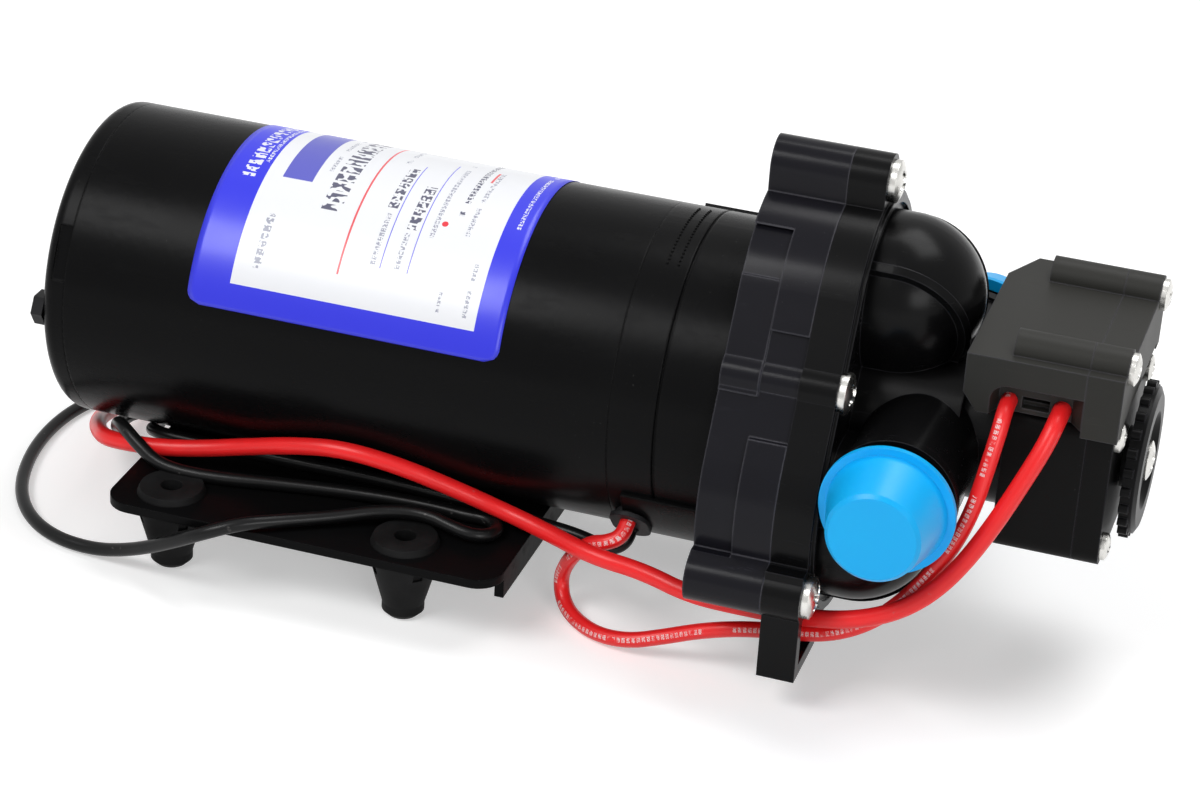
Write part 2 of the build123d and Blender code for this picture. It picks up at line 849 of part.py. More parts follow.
# Valve plate: a dish over each piston, with its inlet ports and one outlet port
valve_plate_end = seam_station + valve_plate_thickness
dish_floor = seam_station + valve_dish_depth
with BuildPart() as valve_plate:
    extrude(rounded_triangle(seam_station, diaphragm_margin), amount=valve_plate_thickness)
    with BuildSketch(across(seam_station)):
        with PolarLocations(chamber_pitch, chambers, start_angle=top_angle):
            Circle(valve_dish_radius)
    extrude(amount=valve_dish_depth, mode=Mode.SUBTRACT)
    with BuildSketch(across(dish_floor)):
        for angle in chamber_angles:
            centre = polar(chamber_pitch, angle)
            with Locations(centre):
                with PolarLocations(valve_port_circle, valve_ports, start_angle=180 / valve_ports):
                    Circle(valve_port_radius)
                Circle(valve_stem_radius + fit)
        with PolarLocations(outlet_port_circle, chambers, start_angle=top_angle):
            Circle(outlet_port_radius)
        Circle(valve_stem_radius + fit)
    extrude(amount=valve_plate_thickness, mode=Mode.SUBTRACT)
    with BuildSketch(across(seam_station)):
        Circle(valve_stem_radius + fit)
    extrude(amount=valve_plate_thickness, mode=Mode.SUBTRACT)
keep(valve_plate, "valve_plate")

# Inlet valves: a rubber disc on the floor of each dish, held by its stem
with BuildPart() as inlet_valves:
    with BuildSketch(across(dish_floor - valve_disc_thickness)):
        with PolarLocations(chamber_pitch, chambers, start_angle=top_angle):
            Circle(valve_disc_radius)
    extrude(amount=valve_disc_thickness)
    with BuildSketch(across(dish_floor)):
        with PolarLocations(chamber_pitch, chambers, start_angle=top_angle):
            Circle(valve_stem_radius)
    extrude(amount=valve_plate_end - dish_floor)
keep(inlet_valves, "inlet_valves")

# Outlet valve: one rubber disc over the three outlet ports
with BuildPart() as outlet_valve:
    with BuildSketch(across(seam_station)):
        Circle(valve_stem_radius)
    extrude(amount=valve_plate_thickness)
    with BuildSketch(across(valve_plate_end)):
        Circle(outlet_disc_radius)
    extrude(amount=valve_disc_thickness)
keep(outlet_valve, "outlet_valve")

# Seal between the valve plate and the upper housing
with BuildPart() as housing_seal:
    extrude(rounded_triangle(valve_plate_end, diaphragm_margin), amount=seal_thickness)
    extrude(rounded_triangle(valve_plate_end, diaphragm_margin + seal_width), amount=seal_thickness, mode=Mode.SUBTRACT)
keep(housing_seal, "housing_seal")

# Upper housing: flange, three domes with their ribs, hub, port necks and the two legs
recess_floor = valve_plate_end + seal_thickness
dome_station = face_station + dome_base
hub_end = face_station + hub_reach
dome_centres = [polar(dome_pitch, angle) for angle in chamber_angles]


def dome_solid(centre, radius, start):
    """Round-ended boss of one pump chamber, square to the flange."""
    section_plane = Plane(origin=(0, centre[0], axis_height + centre[1]), x_dir=(1, 0, 0), z_dir=(0, -1, 0))
    with BuildPart() as dome:
        with BuildSketch(section_plane):
            with BuildLine():
                Polyline((dome_station + radius, 0), (start, 0), (start, radius), (dome_station, radius))
                RadiusArc((dome_station, radius), (dome_station + radius, 0), radius)
            make_face()
        revolve(axis=Axis((0, centre[0], axis_height + centre[1]), (1, 0, 0)))
    return dome.part


with BuildPart() as dome_ribs:
    for centre in dome_centres:
        add(dome_solid(centre, dome_radius + rib_height, recess_floor))
    with BuildSketch(across(recess_floor)):
        for angle in chamber_angles:
            for turn in (rib_turn, -rib_turn):
                with Locations(Location((0, 0, 0), (0, 0, angle + turn))):
                    Rectangle(dome_pitch + 2 * dome_radius, rib_thickness, align=(Align.MIN, Align.CENTER))
    extrude(amount=dome_radius + flange_thickness + 2 * dome_base, mode=Mode.INTERSECT)

port_plane = Plane(origin=(port_station, 0, axis_height), x_dir=(1, 0, 0), z_dir=(0, -1, 0))
plug_start = port_neck_end - port_plug_length
with BuildPart() as upper_housing:
    extrude(head_outline(seam_station, 0), amount=flange_thickness)
    extrude(rounded_triangle(face_station, rim_inset), amount=rim_height)
    extrude(rounded_triangle(face_station, rim_inset + rim_width), amount=rim_height, mode=Mode.SUBTRACT)
    with BuildSketch(across(face_station)):
        with Locations(*all_screws):
            Circle(screw_head_radius + body_gap)
    extrude(amount=rim_height, mode=Mode.SUBTRACT)
    for centre in dome_centres:
        add(dome_solid(centre, dome_radius, recess_floor))
    add(dome_ribs.part)
    for side in (1, -1):
        with BuildSketch(port_plane.offset(side * port_neck_end)):
            Circle(cap_rim_radius + body_gap)
        extrude(amount=side * 2 * cap_length, mode=Mode.SUBTRACT)
    with BuildSketch(across(recess_floor)):
        Circle(hub_radius)
    extrude(amount=hub_end - recess_floor)
    with BuildSketch(across(hub_end)):
        Circle(neck_radius)
    extrude(amount=neck_length)
    with BuildSketch(port_plane):
        Circle(port_neck_radius)
    extrude(amount=port_neck_end, both=True)
    with BuildSketch(port_plane.offset(port_neck_end - port_collar_width), port_plane.offset(-port_neck_end)):
        Circle(port_collar_radius)
    extrude(amount=port_collar_width)
    with BuildSketch(across(seam_station)):
        for side in (1, -1):
            with Locations((side * (leg_outer + leg_inner) / 2, (leg_top + leg_bottom) / 2)):
                Rectangle(leg_outer - leg_inner, leg_top - leg_bottom)
            with Locations((side * (leg_outer + leg_inner) / 2, leg_bottom + leg_wall + leg_window_height / 2)):
                Rectangle(leg_outer - leg_inner - 2 * leg_wall, leg_window_height, mode=Mode.SUBTRACT)
    extrude(amount=flange_thickness)
    extrude(rounded_triangle(seam_station, diaphragm_margin - fit), amount=recess_floor - seam_station, mode=Mode.SUBTRACT)
    for centre in dome_centres:
        add(dome_solid(centre, dome_radius - dome_wall, recess_floor), mode=Mode.SUBTRACT)
    with BuildSketch(across(recess_floor)):
        Circle(gallery_outer)
        Circle(discharge_radius + gallery_wall, mode=Mode.SUBTRACT)
    extrude(amount=gallery_depth, mode=Mode.SUBTRACT)
    with BuildSketch(port_plane.offset(-port_neck_end)):
        Circle(port_bore + dome_wall)
    extrude(amount=port_neck_end - discharge_radius)
    with BuildSketch(across(recess_floor)):
        Circle(discharge_radius)
    extrude(amount=check_seat_station - check_seat_thickness - recess_floor, mode=Mode.SUBTRACT)
    with BuildSketch(across(check_seat_station - check_seat_thickness)):
        Circle(check_seat_radius)
    extrude(amount=check_seat_thickness, mode=Mode.SUBTRACT)
    with BuildSketch(across(check_seat_station)):
        Circle(check_chamber_radius)
    extrude(amount=check_guide_station - check_seat_station, mode=Mode.SUBTRACT)
    with BuildSketch(across(check_guide_station)):
        Circle(check_chamber_radius)
        Circle(check_guide_radius, mode=Mode.SUBTRACT)
    extrude(amount=check_roof_station - check_guide_station, mode=Mode.SUBTRACT)
    with BuildSketch(across(check_guide_station)):
        Circle(poppet_stem_radius + running_fit)
    extrude(amount=check_roof_station - check_guide_station, mode=Mode.SUBTRACT)
    with BuildSketch(across(check_roof_station)):
        with Locations((0, sense_offset)):
            Circle(sense_bore)
    extrude(amount=neck_end - check_roof_station, mode=Mode.SUBTRACT)
    with BuildSketch(port_plane.offset(check_chamber_radius + gallery_wall)):
        Circle(port_bore)
    extrude(amount=port_neck_end, mode=Mode.SUBTRACT)
    with BuildSketch(port_plane.offset(-port_neck_end)):
        Circle(port_bore)
    extrude(amount=port_neck_end, mode=Mode.SUBTRACT)
    with BuildSketch(port_plane.offset(plug_start), port_plane.offset(-port_neck_end)):
        Circle(port_plug_radius + fit)
    extrude(amount=port_plug_length, mode=Mode.SUBTRACT)
    with BuildSketch(across(seam_station)):
        with Locations(*all_screws):
            Circle(screw_hole)
    extrude(amount=flange_thickness, mode=Mode.SUBTRACT)
keep(upper_housing, "upper_housing")


def port_spigot(side):
    """Threaded spigot of one port, plugged into the neck of the upper housing."""
    plane = Plane(origin=(port_station, 0, axis_height), x_dir=(0, side, 0), z_dir=(1, 0, 0))
    tip = port_neck_end + thread_reach
    with BuildPart() as spigot:
        with BuildSketch(plane):
            with BuildLine():
                Polyline(
                    (plug_start, port_bore),
                    (plug_start, port_plug_radius),
                    (port_neck_end, port_plug_radius),
                    (port_neck_end, thread_radius),
                    (tip - thread_chamfer, thread_radius),
                    (tip, thread_radius - thread_chamfer),
                    (tip, port_bore),
                    close=True,
                )
            make_face()
        revolve(axis=Axis((port_station, 0, axis_height), (0, side, 0)))
    return spigot


near_port_spigot = port_spigot(-1)
keep(near_port_spigot, "near_port_spigot")
far_port_spigot = port_spigot(1)
keep(far_port_spigot, "far_port_spigot")


def port_cap(side):
    """Push-on plastic cap over a port: a thin tapered cup with a rim at its mouth."""
    plane = Plane(origin=(port_station, 0, axis_height), x_dir=(0, side, 0), z_dir=(1, 0, 0))
    cap_end = cap_rim_reach + cap_length
    with BuildPart() as cap:
        with BuildSketch(plane):
            with BuildLine():
                Polyline(
                    (cap_rim_reach, cap_mouth_radius - cap_wall),
                    (cap_rim_reach, cap_rim_radius),
                    (cap_rim_reach + cap_rim_thickness, cap_rim_radius),
                    (cap_rim_reach + cap_rim_thickness, cap_mouth_radius),
                    (cap_end - cap_end_round, cap_end_radius),
                    (cap_end, cap_end_radius - cap_end_round),
                    (cap_end, 0),
                    (cap_end - cap_wall, 0),
                    (cap_end - cap_wall, cap_end_radius - cap_wall),
                    close=True,
                )
            make_face()
        revolve(axis=Axis((port_station, 0, axis_height), (0, side, 0)))
    return cap


near_port_cap = port_cap(-1)
keep(near_port_cap, "near_port_cap")
far_port_cap = port_cap(1)
keep(far_port_cap, "far_port_cap")


def pan_screws(station, places, head_radius, head_height, head_round, shank_radius, reach):
    """Pan head screws driven along the pump axis, their heads standing on one face."""
    with BuildPart() as screws:
        with BuildSketch(across(station)):
            with Locations(*places):
                Circle(head_radius)
        extrude(amount=head_height)
        fillet(screws.edges().group_by(Axis.X)[-1], head_round)
        with BuildSketch(across(station)):
            with Locations(*places):
                Circle(shank_radius)
        extrude(amount=-reach)
    return screws


# Six screws that clamp the pump head together
housing_screws = pan_screws(
    face_station, all_screws, screw_head_radius, screw_head_height, screw_head_round, screw_radius, screw_reach
)
keep(housing_screws, "housing_screws")

# Check valve: a poppet on its seat in the hub, with a stem in the guide and a spring
poppet_start = check_seat_station + body_gap
poppet_end = poppet_start + poppet_thickness
with BuildPart() as check_valve_poppet:
    with BuildSketch(across(poppet_start)):
        Circle(poppet_radius)
    extrude(amount=poppet_thickness)
    with BuildSketch(across(poppet_end)):
        Circle(poppet_stem_radius)
    extrude(amount=poppet_stem_length)
keep(check_valve_poppet, "check_valve_poppet")


def coil(start, end, radius, wire, turns):
    """Compression spring along the pump axis."""
    middle = axis_height
    length = end - start - 2 * wire
    with BuildPart() as spring:
        with BuildLine() as path:
            Helix(
                pitch=length / turns, height=length, radius=radius, center=(start + wire, 0, middle), direction=(1, 0, 0)
            )
        with BuildSketch(Plane(origin=path.line @ 0, z_dir=path.line % 0)):
            Circle(wire)
        sweep()
    return spring


check_valve_spring = coil(
    poppet_end, check_guide_station, check_spring_radius, check_spring_wire / 2, check_spring_turns
)
keep(check_valve_spring, "check_valve_spring")

# Switch base at the end of the neck, with the pocket of the switch diaphragm
slot_half = plunger_arm_width / 2 + body_gap
with BuildPart() as switch_base:
    with BuildSketch(across(base_start)):
        RectangleRounded(2 * base_half_width, 2 * base_half_height, base_corner)
    extrude(amount=base_length)
    with BuildSketch(across(base_start + switch_floor)):
        Circle(switch_disc_radius + fit)
    extrude(amount=base_length, mode=Mode.SUBTRACT)
    with BuildSketch(across(base_start)):
        with Locations((0, sense_offset)):
            Circle(sense_bore)
    extrude(amount=switch_floor, mode=Mode.SUBTRACT)
    with BuildSketch(across(base_start + switch_floor + switch_disc_thickness)):
        Rectangle(2 * slot_half, base_half_height + cut_over, align=(Align.CENTER, Align.MIN))
    extrude(amount=base_length, mode=Mode.SUBTRACT)
    with BuildSketch(across(base_end)):
        with GridLocations(2 * end_screw_y, 2 * end_screw_z, 2, 2):
            Circle(end_screw_radius + fit)
    extrude(amount=-end_screw_reach, mode=Mode.SUBTRACT)
keep(switch_base, "switch_base")

# Switch diaphragm
switch_disc_start = base_start + switch_floor
switch_disc_end = switch_disc_start + switch_disc_thickness
with BuildPart() as switch_diaphragm:
    with BuildSketch(across(switch_disc_start)):
        Circle(switch_disc_radius)
    extrude(amount=switch_disc_thickness)
keep(switch_diaphragm, "switch_diaphragm")

# Switch plunger: a disc on the diaphragm, a stem for the spring and an arm up into the switch box
plunger_start = switch_disc_end + body_gap
plunger_flange_end = plunger_start + plunger_flange_thickness
arm_top = base_half_height + box_wall + micro_height / 2
with BuildPart() as switch_plunger:
    with BuildSketch(across(plunger_start)):
        Circle(plunger_flange)
        Rectangle(plunger_arm_width, arm_top, align=(Align.CENTER, Align.MIN))
    extrude(amount=plunger_flange_thickness)
    with BuildSketch(across(plunger_flange_end)):
        Circle(plunger_radius)
    extrude(amount=plunger_nose)
keep(switch_plunger, "switch_plunger")

# Switch spring, between the plunger and the adjuster button
end_cover_floor = base_end + end_cover_pocket
button_start = end_cover_floor - adjuster_button_thickness - body_gap
switch_spring = coil(plunger_flange_end, button_start, switch_spring_radius, switch_spring_wire / 2, switch_spring_turns)
keep(switch_spring, "switch_spring")

# End cover of the switch base, with a hollow for the spring and a tapped hole for the adjuster
with BuildPart() as end_cover:
    with BuildSketch(across(base_end)):
        RectangleRounded(2 * base_half_width, 2 * base_half_height, base_corner)
    extrude(amount=end_cover_thickness)
    with BuildSketch(across(base_end)):
        Circle(adjuster_button_radius + 2 * adjuster_button_thickness)
    extrude(amount=end_cover_pocket, mode=Mode.SUBTRACT)
    with BuildSketch(across(base_end)):
        Circle(adjuster_screw_radius + running_fit)
        with GridLocations(2 * end_screw_y, 2 * end_screw_z, 2, 2):
            Circle(end_screw_radius + fit)
    extrude(amount=end_cover_thickness, mode=Mode.SUBTRACT)
keep(end_cover, "end_cover")

# Four screws that hold the end cover
end_places = [(side * end_screw_y, lift * end_screw_z) for side in (1, -1) for lift in (1, -1)]
end_cover_screws = pan_screws(
    end_cover_end,
    end_places,
    end_screw_head,
    end_screw_head_height,
    end_screw_round,
    end_screw_radius,
    end_screw_reach + end_cover_thickness - cut_over,
)
keep(end_cover_screws, "end_cover_screws")

# Adjuster cap with a ribbed edge and a dished face
adjuster_start = end_cover_end + end_screw_head_height + body_gap
adjuster_end = end_cover_end + adjuster_thickness
with BuildPart() as adjuster_cap:
    revolve(
        turned(
            (end_cover_end + body_gap, adjuster_screw_radius + fit),
            (end_cover_end + body_gap, adjuster_hub_radius),
            (adjuster_start, adjuster_hub_radius),
            (adjuster_start, adjuster_radius - adjuster_bead),
            (adjuster_end - adjuster_recess / 2, adjuster_radius - adjuster_bead),
            (adjuster_end, adjuster_radius - adjuster_bead - adjuster_recess),
            (adjuster_end, adjuster_recess_radius),
            (adjuster_end - adjuster_recess, adjuster_recess_radius - adjuster_recess),
            (adjuster_end - adjuster_recess, adjuster_screw_radius + fit),
        ),
        axis=pump_axis,
    )
    with BuildSketch(across(adjuster_start)):
        with PolarLocations(adjuster_radius - adjuster_bead, adjuster_beads):
            Circle(adjuster_bead)
    extrude(amount=adjuster_end - adjuster_recess - adjuster_start)
keep(adjuster_cap, "adjuster_cap")

# Adjuster screw: its head on the cap and its button against the spring
with BuildPart() as adjuster_screw:
    with BuildSketch(across(adjuster_end - adjuster_recess)):
        Circle(adjuster_screw_head)
    extrude(amount=adjuster_screw_height)
    fillet(adjuster_screw.edges().group_by(Axis.X)[-1], adjuster_recess / 2)
    with BuildSketch(across(button_start)):
        Circle(adjuster_screw_radius)
    extrude(amount=adjuster_end - adjuster_recess - button_start)
    with BuildSketch(across(button_start)):
        Circle(adjuster_button_radius)
    extrude(amount=adjuster_button_thickness)
keep(adjuster_screw, "adjuster_screw")

# Recess in the near face of the switch box, arched at one end and slanted at the other
recess_floor_y = -(box_half_width - recess_depth)
box_face = Plane(origin=(0, -box_half_width, 0), x_dir=(1, 0, 0), z_dir=(0, -1, 0))
with BuildPart() as box_recess:
    with BuildSketch(box_face):
        with BuildLine():
            Polyline(
                (recess_start, box_bottom + recess_height - recess_corner),
                (recess_start, box_bottom),
                (box_seam, box_bottom),
                (box_seam, box_bottom + recess_height),
                (recess_start + recess_corner, box_bottom + recess_height),
            )
            RadiusArc(
                (recess_start, box_bottom + recess_height - recess_corner),
                (recess_start + recess_corner, box_bottom + recess_height),
                recess_corner,
            )
        make_face()
    extrude(amount=-recess_depth)
    with BuildSketch(Plane.XY.offset(box_bottom)):
        with BuildLine():
            Polyline(
                (recess_start, -box_half_width),
                (box_seam, -box_half_width),
                (box_seam - recess_slant, recess_floor_y),
                (recess_start + recess_slant / 2, recess_floor_y),
                close=True,
            )
        make_face()
    extrude(amount=recess_height, mode=Mode.INTERSECT)

# Switch box, open towards its cover, with a half-round ridge over each cover screw
inner_near = recess_floor_y + box_wall
inner_far = box_half_width - box_wall
ridge_places = [(side * ridge_offset, box_top - axis_height) for side in (1, -1)]
lead_plane = Plane(origin=(0, recess_floor_y, 0), x_dir=(1, 0, 0), z_dir=(0, -1, 0))
with BuildPart() as switch_box:
    with BuildSketch(Plane.XY.offset(box_bottom)):
        with BuildLine():
            Polyline(
                (box_start, -box_half_width),
                (box_seam, -box_half_width),
                (box_seam, box_half_width),
                (box_start + box_corner_x, box_half_width),
                (box_start, box_half_width - box_corner_y),
                close=True,
            )
        make_face()
    extrude(amount=box_top - box_bottom)
    chamfer(
        switch_box.edges().filter_by(Axis.Y).group_by(Axis.Z)[0].sort_by(Axis.X)[0], box_low_corner_x, box_low_corner_z
    )
    with BuildSketch(across(ridge_start)):
        with Locations(*ridge_places):
            Circle(ridge_radius)
    extrude(amount=box_seam - ridge_start)
    with BuildSketch(across(box_start + 2 * box_low_corner_x)):
        with Locations(((inner_near + inner_far) / 2, (box_bottom + box_top) / 2 - axis_height)):
            Rectangle(inner_far - inner_near, box_top - box_bottom - 2 * box_wall)
    extrude(amount=box_seam - box_start, mode=Mode.SUBTRACT)
    with BuildSketch(across(ridge_start)):
        with Locations(*ridge_places):
            Circle(ridge_radius)
    extrude(amount=box_seam - ridge_start)
    add(box_recess.part, mode=Mode.SUBTRACT)
    with BuildSketch(lead_plane):
        with Locations((link_hole_station, lead_hole_height)):
            Circle(link_radius + running_fit)
        with Locations((supply_hole_station, lead_hole_height)):
            Circle(red_radius + running_fit)
        with Locations(((link_hole_station + supply_hole_station) / 2, lead_hole_height)):
            Rectangle(slot_window_width, slot_window_height)
    extrude(amount=-(box_wall + fit), mode=Mode.SUBTRACT)
    with BuildSketch(across(base_start + switch_floor + switch_disc_thickness)):
        with Locations((0, base_half_height + box_wall / 2)):
            Rectangle(2 * slot_half, 2 * box_wall)
    extrude(amount=base_length, mode=Mode.SUBTRACT)
    with BuildSketch(across(box_seam)):
        with Locations(*ridge_places):
            Circle(box_screw_radius + fit)
    extrude(amount=-box_screw_reach, mode=Mode.SUBTRACT)
keep(switch_box, "switch_box")

# Switch box cover, with lips that reach down beside the end cover
cover_lip_top = box_bottom - axis_height
with BuildPart() as switch_box_cover:
    with BuildSketch(across(box_seam)):
        with Locations((0, (box_bottom + box_top) / 2 - axis_height)):
            Rectangle(2 * box_half_width, box_top - box_bottom)
        for side in (1, -1):
            with Locations((side * (box_half_width + base_half_width + body_gap) / 2, cover_lip_top - box_lip_drop / 2)):
                Rectangle(box_half_width - base_half_width - body_gap, box_lip_drop)
        with Locations(*ridge_places):
            Circle(ridge_radius)
    extrude(amount=box_end - box_seam)
    with BuildSketch(across(box_seam)):
        with Locations(((inner_near + inner_far) / 2, (box_bottom + box_top) / 2 - axis_height)):
            Rectangle(inner_far - inner_near - 2 * ridge_radius, box_top - box_bottom - 2 * box_wall)
    extrude(amount=box_end - box_seam - box_wall, mode=Mode.SUBTRACT)
    with BuildSketch(across(box_seam)):
        with Locations(*ridge_places):
            Circle(box_screw_radius + fit)
    extrude(amount=box_end - box_seam, mode=Mode.SUBTRACT)
keep(switch_box_cover, "switch_box_cover")

# Two screws along the ridges of the switch box
switch_box_screws = pan_screws(
    box_end,
    ridge_places,
    box_screw_head,
    box_screw_head_height,
    end_screw_round,
    box_screw_radius,
    box_end - box_seam + box_screw_reach - cut_over,
)
keep(switch_box_screws, "switch_box_screws")

# Microswitch on the floor of the box, its button towards the plunger arm
micro_button_end = plunger_flange_end + plunger_travel + body_gap
micro_start = micro_button_end + micro_button_height
with BuildPart() as microswitch:
    with BuildSketch(across(micro_start)):
        with Locations((0, base_half_height + box_wall + micro_height / 2)):
            RectangleRounded(micro_length, micro_height, micro_corner)
    extrude(amount=micro_width)
    with BuildSketch(across(micro_button_end)):
        with Locations((0, base_half_height + box_wall + micro_height / 2)):
            Circle(micro_button)
    extrude(amount=micro_button_height)
keep(microswitch, "microswitch")

# Base plate with a trough for the motor and a turned-down lip at its front end
plate_low = plate_top - axis_height - plate_thickness
plate_length = plate_front - plate_rear
with BuildPart() as base_plate:
    with BuildSketch(across(plate_rear)):
        Circle(motor_radius + plate_thickness)
        with Locations((0, plate_top - axis_height)):
            Rectangle(2 * motor_radius, 2 * motor_radius, align=(Align.CENTER, Align.MAX), mode=Mode.INTERSECT)
        with Locations((0, plate_low)):
            Rectangle(2 * plate_half_width, plate_thickness, align=(Align.CENTER, Align.MIN))
        Circle(motor_radius + fit, mode=Mode.SUBTRACT)
    extrude(amount=plate_length)
    with BuildSketch(across(plate_front - plate_thickness)):
        with Locations((0, plate_top - axis_height)):
            Rectangle(2 * (plate_half_width - plate_corner), plate_lip, align=(Align.CENTER, Align.MAX))
        Circle(motor_radius + fit, mode=Mode.SUBTRACT)
    extrude(amount=plate_thickness)
    fillet(
        base_plate.edges().filter_by(Axis.Z).filter_by(lambda edge: abs(edge.center().Y) > plate_half_width - fit),
        plate_corner,
    )
    with BuildSketch(Plane.XY.offset(plate_top)):
        with GridLocations(foot_pitch_x, foot_pitch_y, 2, 2):
            Circle(plate_hole)
    extrude(amount=-plate_thickness, mode=Mode.SUBTRACT)
keep(base_plate, "base_plate")

# Rubber feet, snapped into the plate by a groove under a button head
plate_under = plate_top - plate_thickness
foot_neck = plate_hole - fit


def rubber_foot(x, y):
    """One rubber foot with its screw hole and four notches under the plate."""
    plane = Plane(origin=(x, y, 0), x_dir=(1, 0, 0), z_dir=(0, -1, 0))
    with BuildPart() as foot:
        with BuildSketch(plane):
            with BuildLine():
                Polyline(
                    (foot_hole, 0),
                    (foot_toe_radius - foot_toe_round, 0),
                    (foot_toe_radius, foot_toe_round),
                    (foot_toe_radius, foot_straight),
                    (foot_shoulder_radius, plate_under),
                    (foot_neck, plate_under),
                    (foot_neck, plate_top),
                    (foot_flange_radius, plate_top),
                    (foot_flange_radius - foot_toe_round / 2, plate_top + foot_flange_height),
                    (foot_hole, plate_top + foot_flange_height),
                    close=True,
                )
            make_face()
        revolve(axis=Axis((x, y, 0), (0, 0, 1)))
        with BuildSketch(Plane(origin=(x, y, plate_under - foot_notch_drop), z_dir=(0, 0, 1))):
            with PolarLocations(foot_shoulder_radius, foot_notches, start_angle=180 / foot_notches):
                Rectangle(2 * foot_notch_depth, foot_notch_width)
        extrude(amount=-foot_notch_height, mode=Mode.SUBTRACT)
    return foot


for end_name, end_side in (("front", 1), ("rear", -1)):
    for side_name, side in (("near", -1), ("far", 1)):
        foot = rubber_foot(end_side * foot_pitch_x / 2, side * foot_pitch_y / 2)
        keep(foot, f"{end_name}_{side_name}_foot")

# Leads: straight runs joined by tangent arcs, each arc as large as its two runs allow


def outward(station, angle, radius):
    turn = math.radians(angle)
    return (station, radius * math.cos(turn), axis_height + radius * math.sin(turn))


def lead(name, radius, points):
    """One insulated lead along its route. Prints its smallest bend and checks its volume."""
    route = [Vector(*point) for point in points]
    bends = []
    for before, corner, after in zip(route, route[1:], route[2:]):
        first = corner - before
        second = after - corner
        turn = math.radians(first.get_angle(second))
        bends.append(lead_run_share * min(first.length, second.length) / math.tan(turn / 2))
    with BuildPart() as tube:
        with BuildLine() as path:
            FilletPolyline(*route, radius=bends)
        centre_line = path.wires()[0]
        with BuildSketch(Plane(origin=centre_line @ 0, z_dir=centre_line % 0)):
            Circle(radius)
        sweep(path=centre_line)
    expected = math.pi * radius**2 * centre_line.length
    print(name, "length", round(centre_line.length, 1), "bend radii", [round(bend, 1) for bend in bends])
    print(name, "volume over section times length", round(tube.part.volume / expected, 4))
    return tube, centre_line


inner_wall_y = recess_floor_y + box_wall
supply_route = [
    (supply_hole_station, inner_wall_y, lead_hole_height),
    (supply_hole_station, -25.6, lead_hole_height),
    (157.5, -29.4, 63.6),
    (154.2, -32.4, 55.8),
    (150.4, -35.0, 47.3),
    (145.7, -37.9, 38.5),
    (140.2, -40.2, 31.2),
    (133.0, -40.9, 25.2),
    (123.4, -39.7, 20.4),
    (111.8, -38.8, 18.1),
    (100.2, -38.8, 17.8),
    (89.3, -39.2, 18.3),
    (78.5, -36.8, 20.0),
    (67.4, -36.8, 21.0),
    (54.8, -30.2, 20.6),
    (43.2, -27.2, 21.8),
    (33.0, -29.7, 26.1),
    (21.7, -32.4, 30.3),
    (8.8, -33.6, 32.2),
    (-3.6, -32.0, 29.3),
    (-14.3, -29.2, 25.2),
    (-24.4, -29.0, 22.4),
    (-33.0, -30.2, 21.2),
    (-41.4, -30.0, 20.3),
    (-48.6, -27.6, 18.9),
    (-54.6, -22.4, 16.8),
    (-59.4, -15.2, 14.0),
    (-62.8, -6.6, 11.0),
    (-64.0, 2.6, 8.2),
    (-62.8, 11.8, 6.0),
    (-58.8, 20.4, 4.2),
    (-54.4, 29.0, 2.8),
    (-52.2, 38.2, 2.1),
    (-53.4, 46.6, 2.0),
]
red_supply_lead, supply_path = lead("red_supply_lead", red_radius, supply_route)
keep(red_supply_lead, "red_supply_lead")

link_route = [
    (link_hole_station, inner_wall_y, lead_hole_height),
    (link_hole_station, -25.4, lead_hole_height),
    (147.8, -28.8, 63.8),
    (146.8, -31.6, 56.8),
    (145.6, -34.2, 49.2),
    (143.0, -35.3, 41.0),
    (138.6, -36.2, 32.8),
    (132.8, -36.2, 24.4),
    (126.8, -36.9, 18.6),
    (118.8, -37.6, 14.7),
    (109.6, -38.0, 13.6),
    (100.6, -38.0, 12.0),
    (92.2, -37.6, 9.2),
    (84.6, -37.4, 5.8),
    (77.0, -38.2, 3.2),
    (69.2, -36.4, 1.9),
    (62.6, -32.0, 1.9),
    (58.6, -27.6, 3.2),
    (57.2, -25.2, 7.2),
    (59.0, -27.4, 12.2),
    (61.8, -30.4, 17.2),
    (65.6, -31.8, 21.2),
    (69.0, -33.0, 22.6),
    (71.9, -31.8, 24.0),
    outward(lead_hole_station, link_exit_angle, motor_radius + pad_height + grommet_flange),
    outward(lead_hole_station, link_exit_angle, motor_radius - cover_wall),
]
red_link_lead, link_path = lead("red_link_lead", link_radius, link_route)
keep(red_link_lead, "red_link_lead")

